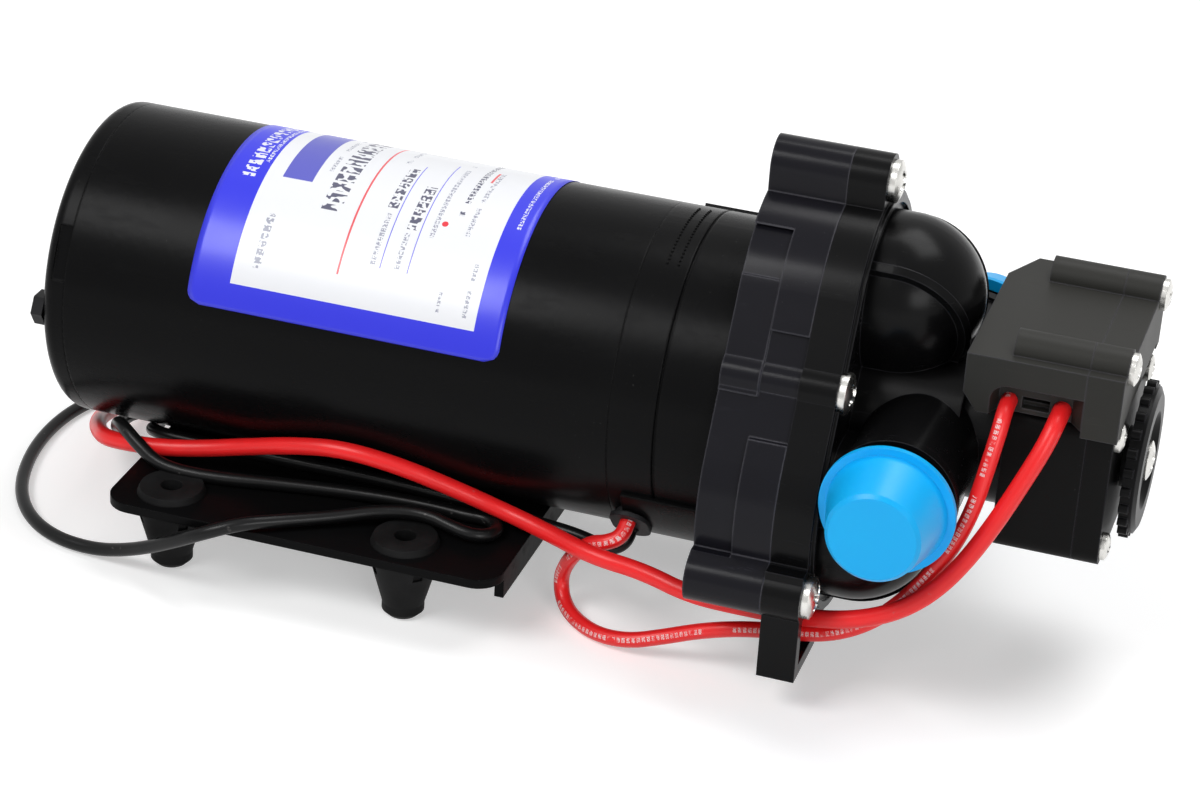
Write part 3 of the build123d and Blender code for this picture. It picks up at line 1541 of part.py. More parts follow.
black_route = [
    outward(lead_hole_station, black_exit_angle, motor_radius - cover_wall),
    outward(lead_hole_station, black_exit_angle, motor_radius + pad_height + grommet_flange),
    (71.9, -28.2, 20.6),
    (69.3, -29.0, 19.0),
    (65.6, -27.6, 18.6),
    (60.8, -25.8, 18.6),
    (55.0, -25.2, 18.9),
    (48.4, -24.9, 19.1),
    (38.6, -23.2, 19.0),
    (28.0, -21.8, 18.9),
    (16.8, -20.9, 18.9),
    (4.6, -20.7, 18.9),
    (-7.6, -21.0, 18.9),
    (-18.6, -20.7, 18.9),
    (-28.6, -21.2, 19.0),
    (-36.6, -21.8, 19.3),
    (-41.4, -19.2, 18.5),
    (-44.4, -12.8, 15.0),
    (-47.4, -6.4, 12.7),
    (-50.4, -4.2, 12.2),
    (-53.4, -5.6, 12.4),
    (-54.8, -9.8, 13.4),
    (-53.4, -15.2, 15.2),
    (-49.4, -20.4, 17.2),
    (-43.6, -24.2, 18.9),
    (-36.4, -25.6, 19.1),
    (-27.6, -25.8, 18.9),
    (-16.6, -26.6, 18.9),
    (-5.2, -26.0, 18.9),
    (7.6, -26.6, 18.9),
    (19.8, -27.4, 18.9),
    (29.2, -27.1, 18.9),
    (36.0, -27.8, 18.9),
    (40.97, -28.2, 18.9),
    (42.9, -30.1, 18.9),
    (42.9, -32.8, 18.9),
    (40.97, -34.6, 19.1),
    (36.0, -34.4, 19.9),
    (28.6, -33.6, 20.8),
    (19.6, -36.0, 20.6),
    (10.2, -41.0, 19.4),
    (0.8, -46.4, 19.2),
    (-6.4, -51.2, 19.4),
    (-13.6, -54.2, 17.0),
    (-20.4, -52.8, 12.8),
    (-27.6, -50.6, 8.4),
    (-34.8, -48.2, 4.6),
    (-42.4, -46.6, 2.1),
    (-51.0, -45.2, 1.6),
    (-58.6, -41.6, 1.6),
    (-64.8, -35.8, 1.6),
    (-69.8, -28.0, 1.6),
    (-73.2, -19.0, 1.6),
    (-75.4, -9.4, 1.6),
    (-76.2, 0.6, 1.6),
    (-75.2, 10.6, 1.6),
    (-71.8, 19.8, 1.6),
    (-67.4, 27.8, 1.6),
    (-62.6, 35.4, 1.6),
]
black_motor_lead, black_path = lead("black_motor_lead", black_radius, black_route)
keep(black_motor_lead, "black_motor_lead")

# Bare conductor at the free end of the supply lead and of the motor lead
with BuildPart() as bare_lead_ends:
    for path in (supply_path, black_path):
        with BuildSketch(Plane(origin=path @ 1 + path % 1 * fit, z_dir=path % 1)):
            Circle(conductor_radius)
        extrude(amount=bare_length)
keep(bare_lead_ends, "bare_lead_ends")
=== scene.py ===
import math

import bmesh
import bpy
import numpy as np
from mathutils import Matrix, Vector


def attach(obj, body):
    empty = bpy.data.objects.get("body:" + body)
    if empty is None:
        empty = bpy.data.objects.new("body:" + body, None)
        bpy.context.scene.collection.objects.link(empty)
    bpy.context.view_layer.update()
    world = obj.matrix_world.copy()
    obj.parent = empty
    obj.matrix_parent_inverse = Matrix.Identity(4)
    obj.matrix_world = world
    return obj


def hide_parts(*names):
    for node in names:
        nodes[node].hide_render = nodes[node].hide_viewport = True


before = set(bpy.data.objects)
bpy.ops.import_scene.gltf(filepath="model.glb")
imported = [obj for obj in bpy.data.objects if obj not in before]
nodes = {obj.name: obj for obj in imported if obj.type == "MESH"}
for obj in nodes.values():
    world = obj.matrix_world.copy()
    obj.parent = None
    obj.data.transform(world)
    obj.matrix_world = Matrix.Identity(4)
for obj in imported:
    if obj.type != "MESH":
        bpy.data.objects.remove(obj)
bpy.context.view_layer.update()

scene = bpy.context.scene
MM = 0.001

# Sizes that the looks share with the CAD, in millimetres
axis_height = 49.6
motor_radius = 35.0
face_station = 115.3
port_station = 129.7
end_cover_station = 170.0
switch_box_station = 171.0
adjuster_station = 174.1

# Points nearer than this, in metres, are one
same_place = 1e-7


def around(station, angle, radius):
    """Point on a circle about the pump's axis, in millimetres."""
    turn = math.radians(angle)
    return (station, radius * math.cos(turn), axis_height + radius * math.sin(turn))


# Camera of the photograph
view_turn = math.radians(16.28)
view_rise = math.radians(27.75)
view_roll = math.radians(3.69)
view_place = Vector((0.23913, -0.62691, 0.38192))
view_lens = 101.75
sensor_width = 36
nearest_seen = 0.01
right = Vector((math.cos(view_turn), math.sin(view_turn), 0))
back = Vector(
    (
        math.sin(view_turn) * math.cos(view_rise),
        -math.cos(view_turn) * math.cos(view_rise),
        math.sin(view_rise),
    )
)
up = back.cross(right)
rolled_right = right * math.cos(view_roll) + up * math.sin(view_roll)
rolled_up = up * math.cos(view_roll) - right * math.sin(view_roll)
camera_data = bpy.data.cameras.new("camera")
camera_data.sensor_width = sensor_width
camera_data.lens = view_lens
camera_data.clip_start = nearest_seen
camera = bpy.data.objects.new("camera", camera_data)
turned_axes = Matrix((rolled_right, rolled_up, back)).transposed()
camera.matrix_world = Matrix.Translation(view_place) @ turned_axes.to_4x4()
scene.collection.objects.link(camera)
scene.camera = camera


# Finishes


class Signal:
    """A socket of a finish, on which Python's operators add Math nodes."""

    def __init__(self, finish, socket):
        self.finish = finish
        self.socket = socket

    def math(self, operation, first, second=0.0):
        return self.finish.node("ShaderNodeMath", {"operation": operation}, {0: first, 1: second})

    def __add__(self, other):
        return self.math("ADD", self, other)

    def __radd__(self, other):
        return self.math("ADD", other, self)

    def __sub__(self, other):
        return self.math("SUBTRACT", self, other)

    def __rsub__(self, other):
        return self.math("SUBTRACT", other, self)

    def __mul__(self, other):
        return self.math("MULTIPLY", self, other)

    def __rmul__(self, other):
        return self.math("MULTIPLY", other, self)

    def __truediv__(self, other):
        return self.math("DIVIDE", self, other)

    def __mod__(self, other):
        return self.math("FLOORED_MODULO", self, other)

    def __gt__(self, other):
        return self.math("GREATER_THAN", self, other)

    def __lt__(self, other):
        return self.math("LESS_THAN", self, other)

    def __abs__(self):
        return self.math("ABSOLUTE", self)

    def __or__(self, other):
        return self.math("MAXIMUM", self, other)


def add_node(tree, kind, settings, inputs):
    """A node in a tree: its settings first, then its sockets' values or links."""
    made = tree.nodes.new(kind)
    for key, value in (settings or {}).items():
        setattr(made, key, value)
    for key, value in (inputs or {}).items():
        if isinstance(value, Signal):
            value = value.socket
        if isinstance(value, bpy.types.NodeSocket):
            tree.links.new(value, made.inputs[key])
        else:
            made.inputs[key].default_value = value
    return made


class Shading:
    """The nodes of one shader tree, made by node() and joined by a Signal's operators."""

    def __init__(self, tree):
        self.tree = tree
        tree.nodes.clear()

    def node(self, kind, settings=None, inputs=None, output=0):
        made = add_node(self.tree, kind, settings, inputs)
        return Signal(self, made.outputs[output])

    def ramp(self, value, low, high, start=0.0, end=1.0):
        """From start to end as the value goes from low to high, and level beyond."""
        return self.node("ShaderNodeMapRange", {}, {0: value, 1: low, 2: high, 3: start, 4: end})

    def background_seen(self):
        """1 on the rays that show the background, and 0 on those that light the pump."""
        camera_ray = self.node("ShaderNodeLightPath", output="Is Camera Ray")
        glossy_ray = self.node("ShaderNodeLightPath", output="Is Glossy Ray")
        through_ray = self.node("ShaderNodeLightPath", output="Is Transmission Ray")
        return camera_ray | glossy_ray | through_ray

    def shown(self, shader, kind="Material"):
        """Puts a shader on the output of a material or a world."""
        add_node(self.tree, "ShaderNodeOutput" + kind, {}, {"Surface": shader})


class Finish(Shading):
    """A node material that reads its piece's own coordinates."""

    def __init__(self, name):
        self.material = bpy.data.materials.new(name)
        self.material.use_nodes = True
        super().__init__(self.material.node_tree)
        self.place = self.node("ShaderNodeTexCoord", output="Object")

    def parts(self, vector):
        """The three numbers of a vector."""
        split = add_node(self.tree, "ShaderNodeSeparateXYZ", {}, {0: vector})
        return [Signal(self, split.outputs[index]) for index in range(3)]

    def stretched(self, scale):
        """The piece's coordinates, stretched along its axes."""
        return self.node("ShaderNodeMapping", {}, {"Vector": self.place, "Scale": scale})

    def noise(self, scale, detail=2.0, roughness=0.5, vector=None):
        inputs = {"Vector": vector or self.place, "Scale": scale}
        inputs.update({"Detail": detail, "Roughness": roughness})
        return self.node("ShaderNodeTexNoise", {}, inputs)

    def cells(self, scale):
        return self.node("ShaderNodeTexVoronoi", {}, {"Vector": self.place, "Scale": scale})

    def mixed(self, factor, first, second):
        colours = {0: factor, 6: first, 7: second}
        return self.node("ShaderNodeMix", {"data_type": "RGBA"}, colours, 2)

    def rounded(self, radius):
        """The normal, with edges rounded by a radius in millimetres."""
        return self.node("ShaderNodeBevel", {"samples": 4}, {"Radius": radius * MM})

    def bumped(self, height, depth, normal=None):
        """The normal, raised by a height whose full step is a depth in millimetres."""
        inputs = {"Height": height, "Distance": depth * MM}
        if normal is not None:
            inputs["Normal"] = normal
        return self.node("ShaderNodeBump", {}, inputs)

    def surface(self, colour, roughness, normal, metallic=0.0, **constants):
        """Finishes the material, and returns it."""
        inputs = {"Base Color": colour, "Roughness": roughness, "Metallic": metallic}
        inputs["Normal"] = normal
        for key, value in constants.items():
            inputs[key.replace("_", " ")] = value
        self.shown(self.node("ShaderNodeBsdfPrincipled", {}, inputs))
        return self.material


def tone(red, green, blue):
    return (red, green, blue, 1.0)


def shade(colour, factor):
    return (colour[0] * factor, colour[1] * factor, colour[2] * factor, 1.0)


paint_dust = tone(0.3, 0.3, 0.29)
plastic_dust = tone(0.34, 0.34, 0.33)
lead_dust = tone(0.35, 0.33, 0.32)
# Colour of the painted highlight along the sharp edges of mouldings
edge_highlight_tone = tone(0.1, 0.098, 0.115)


def painted(name, colour, gloss, edge=0.6, shine=0.06):
    """Baked paint on steel: faint orange peel, rubbed patches and a little dust."""
    paint = Finish(name)
    patches = paint.noise(26, 3, 0.55)
    peel = paint.noise(520, 1, 0.4)
    rubbed = paint.ramp(paint.noise(70, 5, 0.65, paint.stretched((1, 3, 3))), 0.56, 0.72)
    specks = paint.ramp(paint.noise(1500, 2, 0.6), 0.7, 0.78) * paint.ramp(patches, 0.45, 0.7)
    colour_now = paint.mixed(patches * 0.6, colour, shade(colour, 1.6))
    colour_now = paint.mixed(specks * 0.125, colour_now, paint_dust)
    rough = gloss + (patches - 0.5) * 0.16 + rubbed * 0.1
    normal = paint.bumped(peel, 0.02, paint.rounded(edge))
    return paint.surface(colour_now, rough, normal, Specular_IOR_Level=shine)


def moulded(name, colour, gloss, edge=0.35, edge_highlight=0.3, shine=0.07):
    """Moulded plastic: fine spark grain, flow marks, scuffs, pale dust, and sharp edges lightened
    as a painted highlight.
    """
    plastic = Finish(name)
    broad = plastic.noise(38, 3, 0.55)
    flowing = plastic.noise(24, 4, 0.6, plastic.stretched((0.5, 2.2, 2.2)))
    fine = plastic.noise(2600, 1, 0.5)
    scratches = plastic.noise(210, 4, 0.7, plastic.stretched((0.35, 1, 2.5)))
    scuffs = plastic.ramp(scratches, 0.62, 0.74)
    specks = plastic.ramp(plastic.noise(1250, 2, 0.6), 0.71, 0.78)
    specks = specks * plastic.ramp(broad, 0.5, 0.72)
    colour_now = plastic.mixed(broad * 0.55, colour, shade(colour, 1.7))
    colour_now = plastic.mixed(scuffs * 0.3, colour_now, shade(colour, 2.6))
    colour_now = plastic.mixed(specks * 0.14, colour_now, plastic_dust)
    bent = plastic.rounded(edge)
    flat = plastic.node("ShaderNodeNewGeometry", output="Normal")
    facing = plastic.node(
        "ShaderNodeVectorMath", {"operation": "DOT_PRODUCT"}, {0: bent, 1: flat}, "Value"
    )
    # Painted highlight: the colour turns paler where the rounded normal leaves the flat one, along
    # sharp edges
    edge_highlight_mask = plastic.ramp(facing, 0.985, 0.86)
    colour_now = plastic.mixed(edge_highlight_mask * edge_highlight, colour_now, edge_highlight_tone)
    rough = gloss + (flowing - 0.5) * 0.11 + scuffs * 0.1
    height = fine * 0.7 + flowing * 0.5
    normal = plastic.bumped(height, 0.016, bent)
    return plastic.surface(colour_now, rough, normal, Specular_IOR_Level=shine)


def cap_plastic(name, colour):
    """Soft blue moulding with a faintly cloudy skin."""
    plastic = Finish(name)
    cloud = plastic.noise(60, 3, 0.5)
    fine = plastic.noise(1900, 1, 0.5)
    colour_now = plastic.mixed(cloud * 0.5, colour, tone(0.004, 0.52, 0.98))
    rough = 0.34 + (cloud - 0.5) * 0.14
    normal = plastic.bumped(fine, 0.008, plastic.rounded(0.3))
    return plastic.surface(
        colour_now,
        rough,
        normal,
        Subsurface_Weight=0.08,
        Subsurface_Radius=(0.001, 0.002, 0.004),
        Subsurface_Scale=1.0,
        Specular_IOR_Level=0.3,
    )


def rubber(name, colour, gloss=0.62):
    """Dull rubber with bloom and a coarse skin."""
    gum = Finish(name)
    bloom = gum.noise(95, 4, 0.6)
    skin = gum.noise(1400, 3, 0.6)
    colour_now = gum.mixed(gum.ramp(bloom, 0.4, 0.75), colour, shade(colour, 2.6))
    rough = gloss + (bloom - 0.5) * 0.2
    normal = gum.bumped(skin, 0.03, gum.rounded(0.4))
    return gum.surface(colour_now, rough, normal, Specular_IOR_Level=0.1)


def metal(name, colour, gloss, lay=(1, 1, 1), stain=0.4, edge=0.2):
    """Plated or ground metal, with the lay of its tool marks and light staining."""
    plate = Finish(name)
    marks = plate.noise(900, 3, 0.6, plate.stretched(lay))
    stains = plate.ramp(plate.noise(160, 4, 0.6), 0.45, 0.75)
    colour_now = plate.mixed(stains * stain, colour, shade(colour, 0.55))
    rough = gloss + (marks - 0.5) * 0.16 + stains * 0.1
    normal = plate.bumped(marks, 0.01, plate.rounded(edge))
    return plate.surface(colour_now, rough, normal, 1.0)


def stacked_steel(name, colour):
    """Core plates, whose edges show as fine lines across the axis."""
    core = Finish(name)
    plate = 0.5 * MM
    station, _, _ = core.parts(core.place)
    line = abs((station / plate) % 1 - 0.5) * 2
    rust = core.ramp(core.noise(190, 5, 0.65), 0.55, 0.8)
    colour_now = core.mixed(line, shade(colour, 0.5), colour)
    colour_now = core.mixed(rust * 0.4, colour_now, tone(0.16, 0.07, 0.03))
    return core.surface(colour_now, 0.45 + rust * 0.2, core.bumped(line, 0.05), 1.0)


def wound_copper(name, colour):
    """Enamelled wire laid side by side, with painted shade darkening the grooves between turns."""
    wire = Finish(name)
    turns = wire.node(
        "ShaderNodeTexWave",
        {"bands_direction": "DIAGONAL"},
        {"Vector": wire.place, "Scale": 420, "Distortion": 1.5},
        1,
    )
    tint = wire.noise(120, 2)
    # Painted shade: darker where the bands dip into the grooves between turns
    colour_now = wire.mixed(turns * 0.7, shade(colour, 0.45), colour)
    return wire.surface(colour_now, 0.26 + tint * 0.12, wire.bumped(turns, 0.12), 1.0)


def ferrite(name, colour):
    """Pressed ferrite with small chips and a dull grind."""
    block = Finish(name)
    chips = block.ramp(block.cells(420), 0.0, 0.25)
    cloud = block.noise(140, 4)
    colour_now = block.mixed(cloud, colour, shade(colour, 1.6))
    rough = 0.6 + cloud * 0.15
    normal = block.bumped(chips, 0.06, block.rounded(0.3))
    return block.surface(colour_now, rough, normal)


def insulation(name, colour, gloss, shine=0.4):
    """Smooth wire insulation with slight handling marks along its run."""
    skin = Finish(name)
    along, _, _ = skin.parts(skin.node("ShaderNodeTexCoord", output="UV"))
    wear = skin.noise(55, 4, 0.6)
    ripple = skin.noise(900, 2)
    rubbed = skin.ramp(wear, 0.55, 0.75)
    colour_now = skin.mixed(rubbed * 0.35, colour, shade(colour, 0.62))
    specks = skin.ramp(skin.noise(700, 2), 0.7, 0.8)
    colour_now = skin.mixed(specks * 0.2, colour_now, lead_dust)
    rough = gloss + (wear - 0.5) * 0.16
    drawn = 9 * MM
    bands = abs((along / drawn) % 1 - 0.5)
    normal = skin.bumped(ripple + bands * 0.4, 0.012)
    return skin.surface(colour_now, rough, normal, Specular_IOR_Level=shine)


def printed_insulation(name, colour, ink, gloss):
    """Insulation with a worn row of small print marks along it."""
    skin = Finish(name)
    along, round_it, _ = skin.parts(skin.node("ShaderNodeTexCoord", output="UV"))
    wear = skin.noise(55, 4, 0.6)
    rubbed = skin.ramp(wear, 0.55, 0.75)
    pitch = 1.1 * MM
    stroke_width = 0.45 * MM
    group_length = 9 * MM
    mark = abs((along / pitch) % 1 - 0.5) < 0.34
    in_row = abs(round_it - 0.775) < 0.05
    fine_grid = skin.node("ShaderNodeCombineXYZ", {}, {0: along / stroke_width, 1: round_it * 34})
    stroke = skin.noise(1.9, 0, 0.5, fine_grid) > 0.45
    coarse_grid = skin.node("ShaderNodeCombineXYZ", {}, {0: along / group_length})
    group = skin.noise(1.0, 0, 0.5, coarse_grid) > 0.42
    worn = skin.ramp(skin.noise(420, 3, 0.6), 0.36, 0.5)
    marks = mark * in_row * stroke * group * worn
    colour_now = skin.mixed(rubbed * 0.35, colour, shade(colour, 0.62))
    colour_now = skin.mixed(marks * 0.85, colour_now, ink)
    rough = gloss + (wear - 0.5) * 0.16
    normal = skin.bumped(skin.noise(900, 2), 0.012)
    return skin.surface(colour_now, rough, normal)


# Sheet label: its print, in millimetres along the motor and up round it
label_start = -26.9
label_end = 43.3
label_low_angle = 163.3
label_high_angle = 30.0
label_thickness = 0.1
label_lift = 0.16
label_radius = motor_radius + label_lift
label_rise = math.radians(label_low_angle - label_high_angle) * label_radius
label_corner = 3.0
left_border = 9.2
right_border = 6.2
low_border = 5.8
label_uv_scale = 100


def printed_label(name):
    """Coated paper: blue border, white field, and plain rows and bars of broken marks."""
    paper = Finish(name)
    across, rise, _ = paper.parts(paper.node("ShaderNodeTexCoord", output="UV"))
    across = across * label_uv_scale + label_start
    rise = rise * label_uv_scale

    def block(x_from, x_to, low, high):
        middle_x = (x_from + x_to) / 2
        middle_rise = (low + high) / 2
        inside = abs(across - middle_x) < (x_to - x_from) / 2
        return inside * (abs(rise - middle_rise) < (high - low) / 2)

    def row(x_middle, height, low, high, pitch, cut, seed):
        """A row of small upright marks along the rise, broken into groups."""
        mark = abs((rise / pitch) % 1 - 0.5) < 0.38
        coarse_grid = {0: rise / (pitch * 4.3), 1: seed}
        group = paper.noise(1, 0, 0.5, paper.node("ShaderNodeCombineXYZ", {}, coarse_grid)) > cut
        fine_grid = {0: rise / (pitch * 0.36), 1: across / (height * 0.36), 2: seed * 7.3}
        stroke = paper.noise(1, 0, 0.5, paper.node("ShaderNodeCombineXYZ", {}, fine_grid)) > 0.46
        band = block(x_middle - height / 2, x_middle + height / 2, low, high)
        return band * mark * group * stroke

    blue = tone(0.02, 0.026, 0.74)
    white = tone(0.86, 0.87, 0.9)
    ink = tone(0.03, 0.03, 0.09)
    grey = tone(0.3, 0.31, 0.4)
    red = tone(0.78, 0.03, 0.05)
    field_end = label_end - right_border
    field = block(label_start + left_border, field_end, low_border, label_rise - low_border)
    mottle = paper.noise(240, 3, 0.6)
    print_now = paper.mixed(field, blue, paper.mixed(mottle * 0.25, white, tone(0.8, 0.82, 0.88)))
    for marks, colour in (
        (row(-21.4, 3.0, 31, 78, 2.3, 0.3, 1.0), white),
        (row(-18.9, 0.9, 36, 74, 1.0, 0.4, 2.0), white),
        (block(-14.0, -7.2, 32.5, 77), tone(0.035, 0.04, 0.5)),
        (row(-4.6, 0.9, 36, 72, 1.1, 0.42, 3.0), grey),
        (row(-0.6, 4.4, 26, 68, 3.1, 0.25, 4.0), ink),
        (block(5.0, 5.45, 12.0, 74), red),
        (row(9.6, 1.0, 46, 70, 1.1, 0.42, 5.0), grey),
        (row(12.2, 1.1, 15.5, 28, 1.1, 0.36, 6.0), grey),
        (row(12.2, 2.2, 29.5, 44, 2.1, 0.2, 7.0), ink),
        (block(13.9, 14.1, 15, 46), blue),
        (row(17.6, 1.1, 15.5, 24, 1.1, 0.36, 8.0), grey),
        (row(18.2, 2.4, 25, 38, 2.2, 0.2, 9.0), ink),
        (block(20.0, 20.2, 15, 50), blue),
        (row(22.8, 1.0, 24, 52, 1.1, 0.4, 10.0), grey),
        (row(27.2, 1.2, 31, 60, 1.2, 0.36, 11.0), ink),
        (row(30.2, 1.0, 26, 50, 1.1, 0.4, 12.0), grey),
        (row(-12.6, 1.7, 10, 22.5, 1.8, 0.15, 13.0), grey),
        (row(34.4, 0.9, 8.0, 20, 1.0, 0.35, 14.0), grey),
        (row(28.4, 0.7, 8.0, 13, 0.9, 0.35, 15.0), grey),
        (row(40.2, 0.9, 30, 60, 1.0, 0.36, 16.0), white),
        (block(29.0, 29.5, 44, 50), red),
    ):
        print_now = paper.mixed(marks * 0.92, print_now, colour)
    dot_across = across - 24.6
    dot_rise = rise - 28.0
    dot = (dot_across * dot_across + dot_rise * dot_rise) < 0.5
    print_now = paper.mixed(dot, print_now, red)
    fibre = paper.noise(1300, 3, 0.6)
    rough = 0.33 + mottle * 0.12
    normal = paper.bumped(fibre, 0.008)
    return paper.surface(print_now, rough, normal, Coat_Weight=0.25, Coat_Roughness=0.2)


satin_black = painted("motor_satin_black", tone(0.003, 0.003, 0.0032), 0.27)
plate_black = painted("plate_gloss_black", tone(0.0032, 0.0032, 0.0034), 0.34, 0.5, shine=0.04)
head_black = moulded("head_black", tone(0.0032, 0.0032, 0.0034), 0.25, edge_highlight=0.22, shine=0.1)
drive_tone = tone(0.0068, 0.0066, 0.0092)
drive_grey = moulded("drive_housing_grey", drive_tone, 0.2, 0.6, edge_highlight=0.8, shine=0.13)
# Switch box and end cover: one black moulding in two copies, lighter for the switch box as painted
# light and darker for the end cover as painted shade
switch_lit_tone = tone(0.016, 0.0158, 0.0138)
switch_black_lit_copy = moulded("switch_black_lit_copy", switch_lit_tone, 0.5, 0.5, edge_highlight=0.5, shine=0.2)
end_black_shaded_copy = moulded("end_black_shaded_copy", tone(0.0036, 0.0036, 0.0036), 0.4, 0.5, edge_highlight=0.25)
adjuster_black = moulded("adjuster_black", tone(0.005, 0.005, 0.0052), 0.34, 0.3)
spigot_black = moulded("spigot_black", tone(0.005, 0.005, 0.0052), 0.3)
cap_blue = cap_plastic("cap_blue", tone(0.002, 0.42, 0.95))
foot_rubber = rubber("foot_rubber", tone(0.006, 0.006, 0.0062))
seal_rubber = rubber("seal_rubber", tone(0.014, 0.014, 0.015), 0.5)
screw_steel = metal("screw_steel", tone(0.7, 0.69, 0.66), 0.24, (1, 1, 1), 0.45)
ground_steel = metal("ground_steel", tone(0.62, 0.62, 0.6), 0.22, (1, 8, 8), 0.25)
spring_steel = metal("spring_steel", tone(0.55, 0.55, 0.54), 0.28)
cast_zinc = metal("cast_zinc", tone(0.5, 0.5, 0.51), 0.42, (1, 1, 1), 0.5, 0.4)
core_plates = stacked_steel("core_plates", tone(0.25, 0.25, 0.26))
winding_copper = wound_copper("winding_copper", tone(0.62, 0.24, 0.09))
bolt_black = metal("blackened_steel", tone(0.02, 0.02, 0.021), 0.42)
bar_copper = metal("bar_copper", tone(0.72, 0.4, 0.22), 0.3, (8, 1, 1), 0.5)
tinned_copper = metal("tinned_copper", tone(0.72, 0.55, 0.42), 0.3, (1, 1, 1), 0.3)
magnet_ferrite = ferrite("magnet_ferrite", tone(0.055, 0.055, 0.06))
brush_carbon = ferrite("brush_carbon", tone(0.018, 0.018, 0.019))
inner_white = moulded("inner_white_plastic", tone(0.62, 0.61, 0.57), 0.4)
inner_black = moulded("inner_black_plastic", tone(0.02, 0.02, 0.022), 0.45)
red_lead_skin = insulation("red_lead_skin", tone(0.95, 0.018, 0.02), 0.34)
link_tone = tone(0.92, 0.018, 0.02)
worn_white = tone(0.9, 0.78, 0.78)
link_lead_skin = printed_insulation("link_lead_skin", link_tone, worn_white, 0.34)
black_lead_skin = insulation("black_lead_skin", tone(0.006, 0.006, 0.0063), 0.3, 0.2)
label_print = printed_label("label_print")

node_finishes = {
    satin_black: ["motor_tube", "rear_bell", "front_cover"],
    plate_black: ["base_plate"],
    head_black: ["upper_housing"],
    drive_grey: ["lower_housing"],
    switch_black_lit_copy: ["switch_box", "switch_box_cover"],
    end_black_shaded_copy: ["switch_base", "end_cover"],
    adjuster_black: ["adjuster_cap"],
    spigot_black: ["near_port_spigot", "far_port_spigot"],
    cap_blue: ["near_port_cap", "far_port_cap"],
    foot_rubber: ["front_near_foot", "front_far_foot", "rear_near_foot", "rear_far_foot"],
    seal_rubber: [
        "wire_grommet",
        "diaphragm",
        "inlet_valves",
        "outlet_valve",
        "housing_seal",
        "switch_diaphragm",
    ],
    screw_steel: [
        "housing_screws",
        "end_cover_screws",
        "switch_box_screws",
        "adjuster_screw",
        "piston_screws",
    ],
    bolt_black: ["through_bolts"],
    ground_steel: ["rotor_shaft", "rear_bearing", "front_bearing", "cam_bearing"],
    spring_steel: ["brush_springs", "check_valve_spring", "switch_spring"],
    cast_zinc: ["drive_cam"],
    core_plates: ["armature_core"],
    winding_copper: ["armature_windings"],
    bar_copper: ["commutator"],
    tinned_copper: ["bare_lead_ends"],
    magnet_ferrite: ["magnets"],
    brush_carbon: ["brushes"],
    inner_white: ["pistons", "valve_plate", "check_valve_poppet", "switch_plunger"],
    inner_black: ["brush_holder", "wobble_plate", "microswitch"],
    red_lead_skin: ["red_supply_lead"],
    link_lead_skin: ["red_link_lead"],
    black_lead_skin: ["black_motor_lead"],
}
for finish, names in node_finishes.items():
    for name in names:
        mesh = nodes[name].data
        mesh.materials.clear()
        mesh.materials.append(finish)


# Meshes


def riding(name, mesh, body):
    """An object of a mesh that rides on a body."""
    made = bpy.data.objects.new(name, mesh)
    scene.collection.objects.link(made)
    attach(made, body)
    return made


def piece(name, points, faces, finish, body="pump", smooth=True, uvs=None):
    """A mesh piece from points in millimetres, riding on a body."""
    mesh = bpy.data.meshes.new(name)
    mesh.from_pydata([[c * MM for c in point] for point in points], [], faces)
    if uvs is not None:
        layer = mesh.uv_layers.new(name="UVMap")
        for loop in mesh.loops:
            layer.data[loop.index].uv = uvs[loop.vertex_index]
    mesh.materials.append(finish)
    for polygon in mesh.polygons:
        polygon.use_smooth = smooth
    return riding(name, mesh, body)


def outward(mesh, crease=None):
    """Merges a mesh's doubles, turns its faces outwards and marks edges past a crease angle."""
    work = bmesh.new()
    work.from_mesh(mesh)
    bmesh.ops.remove_doubles(work, verts=work.verts, dist=same_place)
    bmesh.ops.recalc_face_normals(work, faces=work.faces)
    for edge in work.edges if crease else ():
        if len(edge.link_faces) == 2 and edge.calc_face_angle(0) > crease:
            edge.smooth = False
    work.to_mesh(mesh)
    work.free()


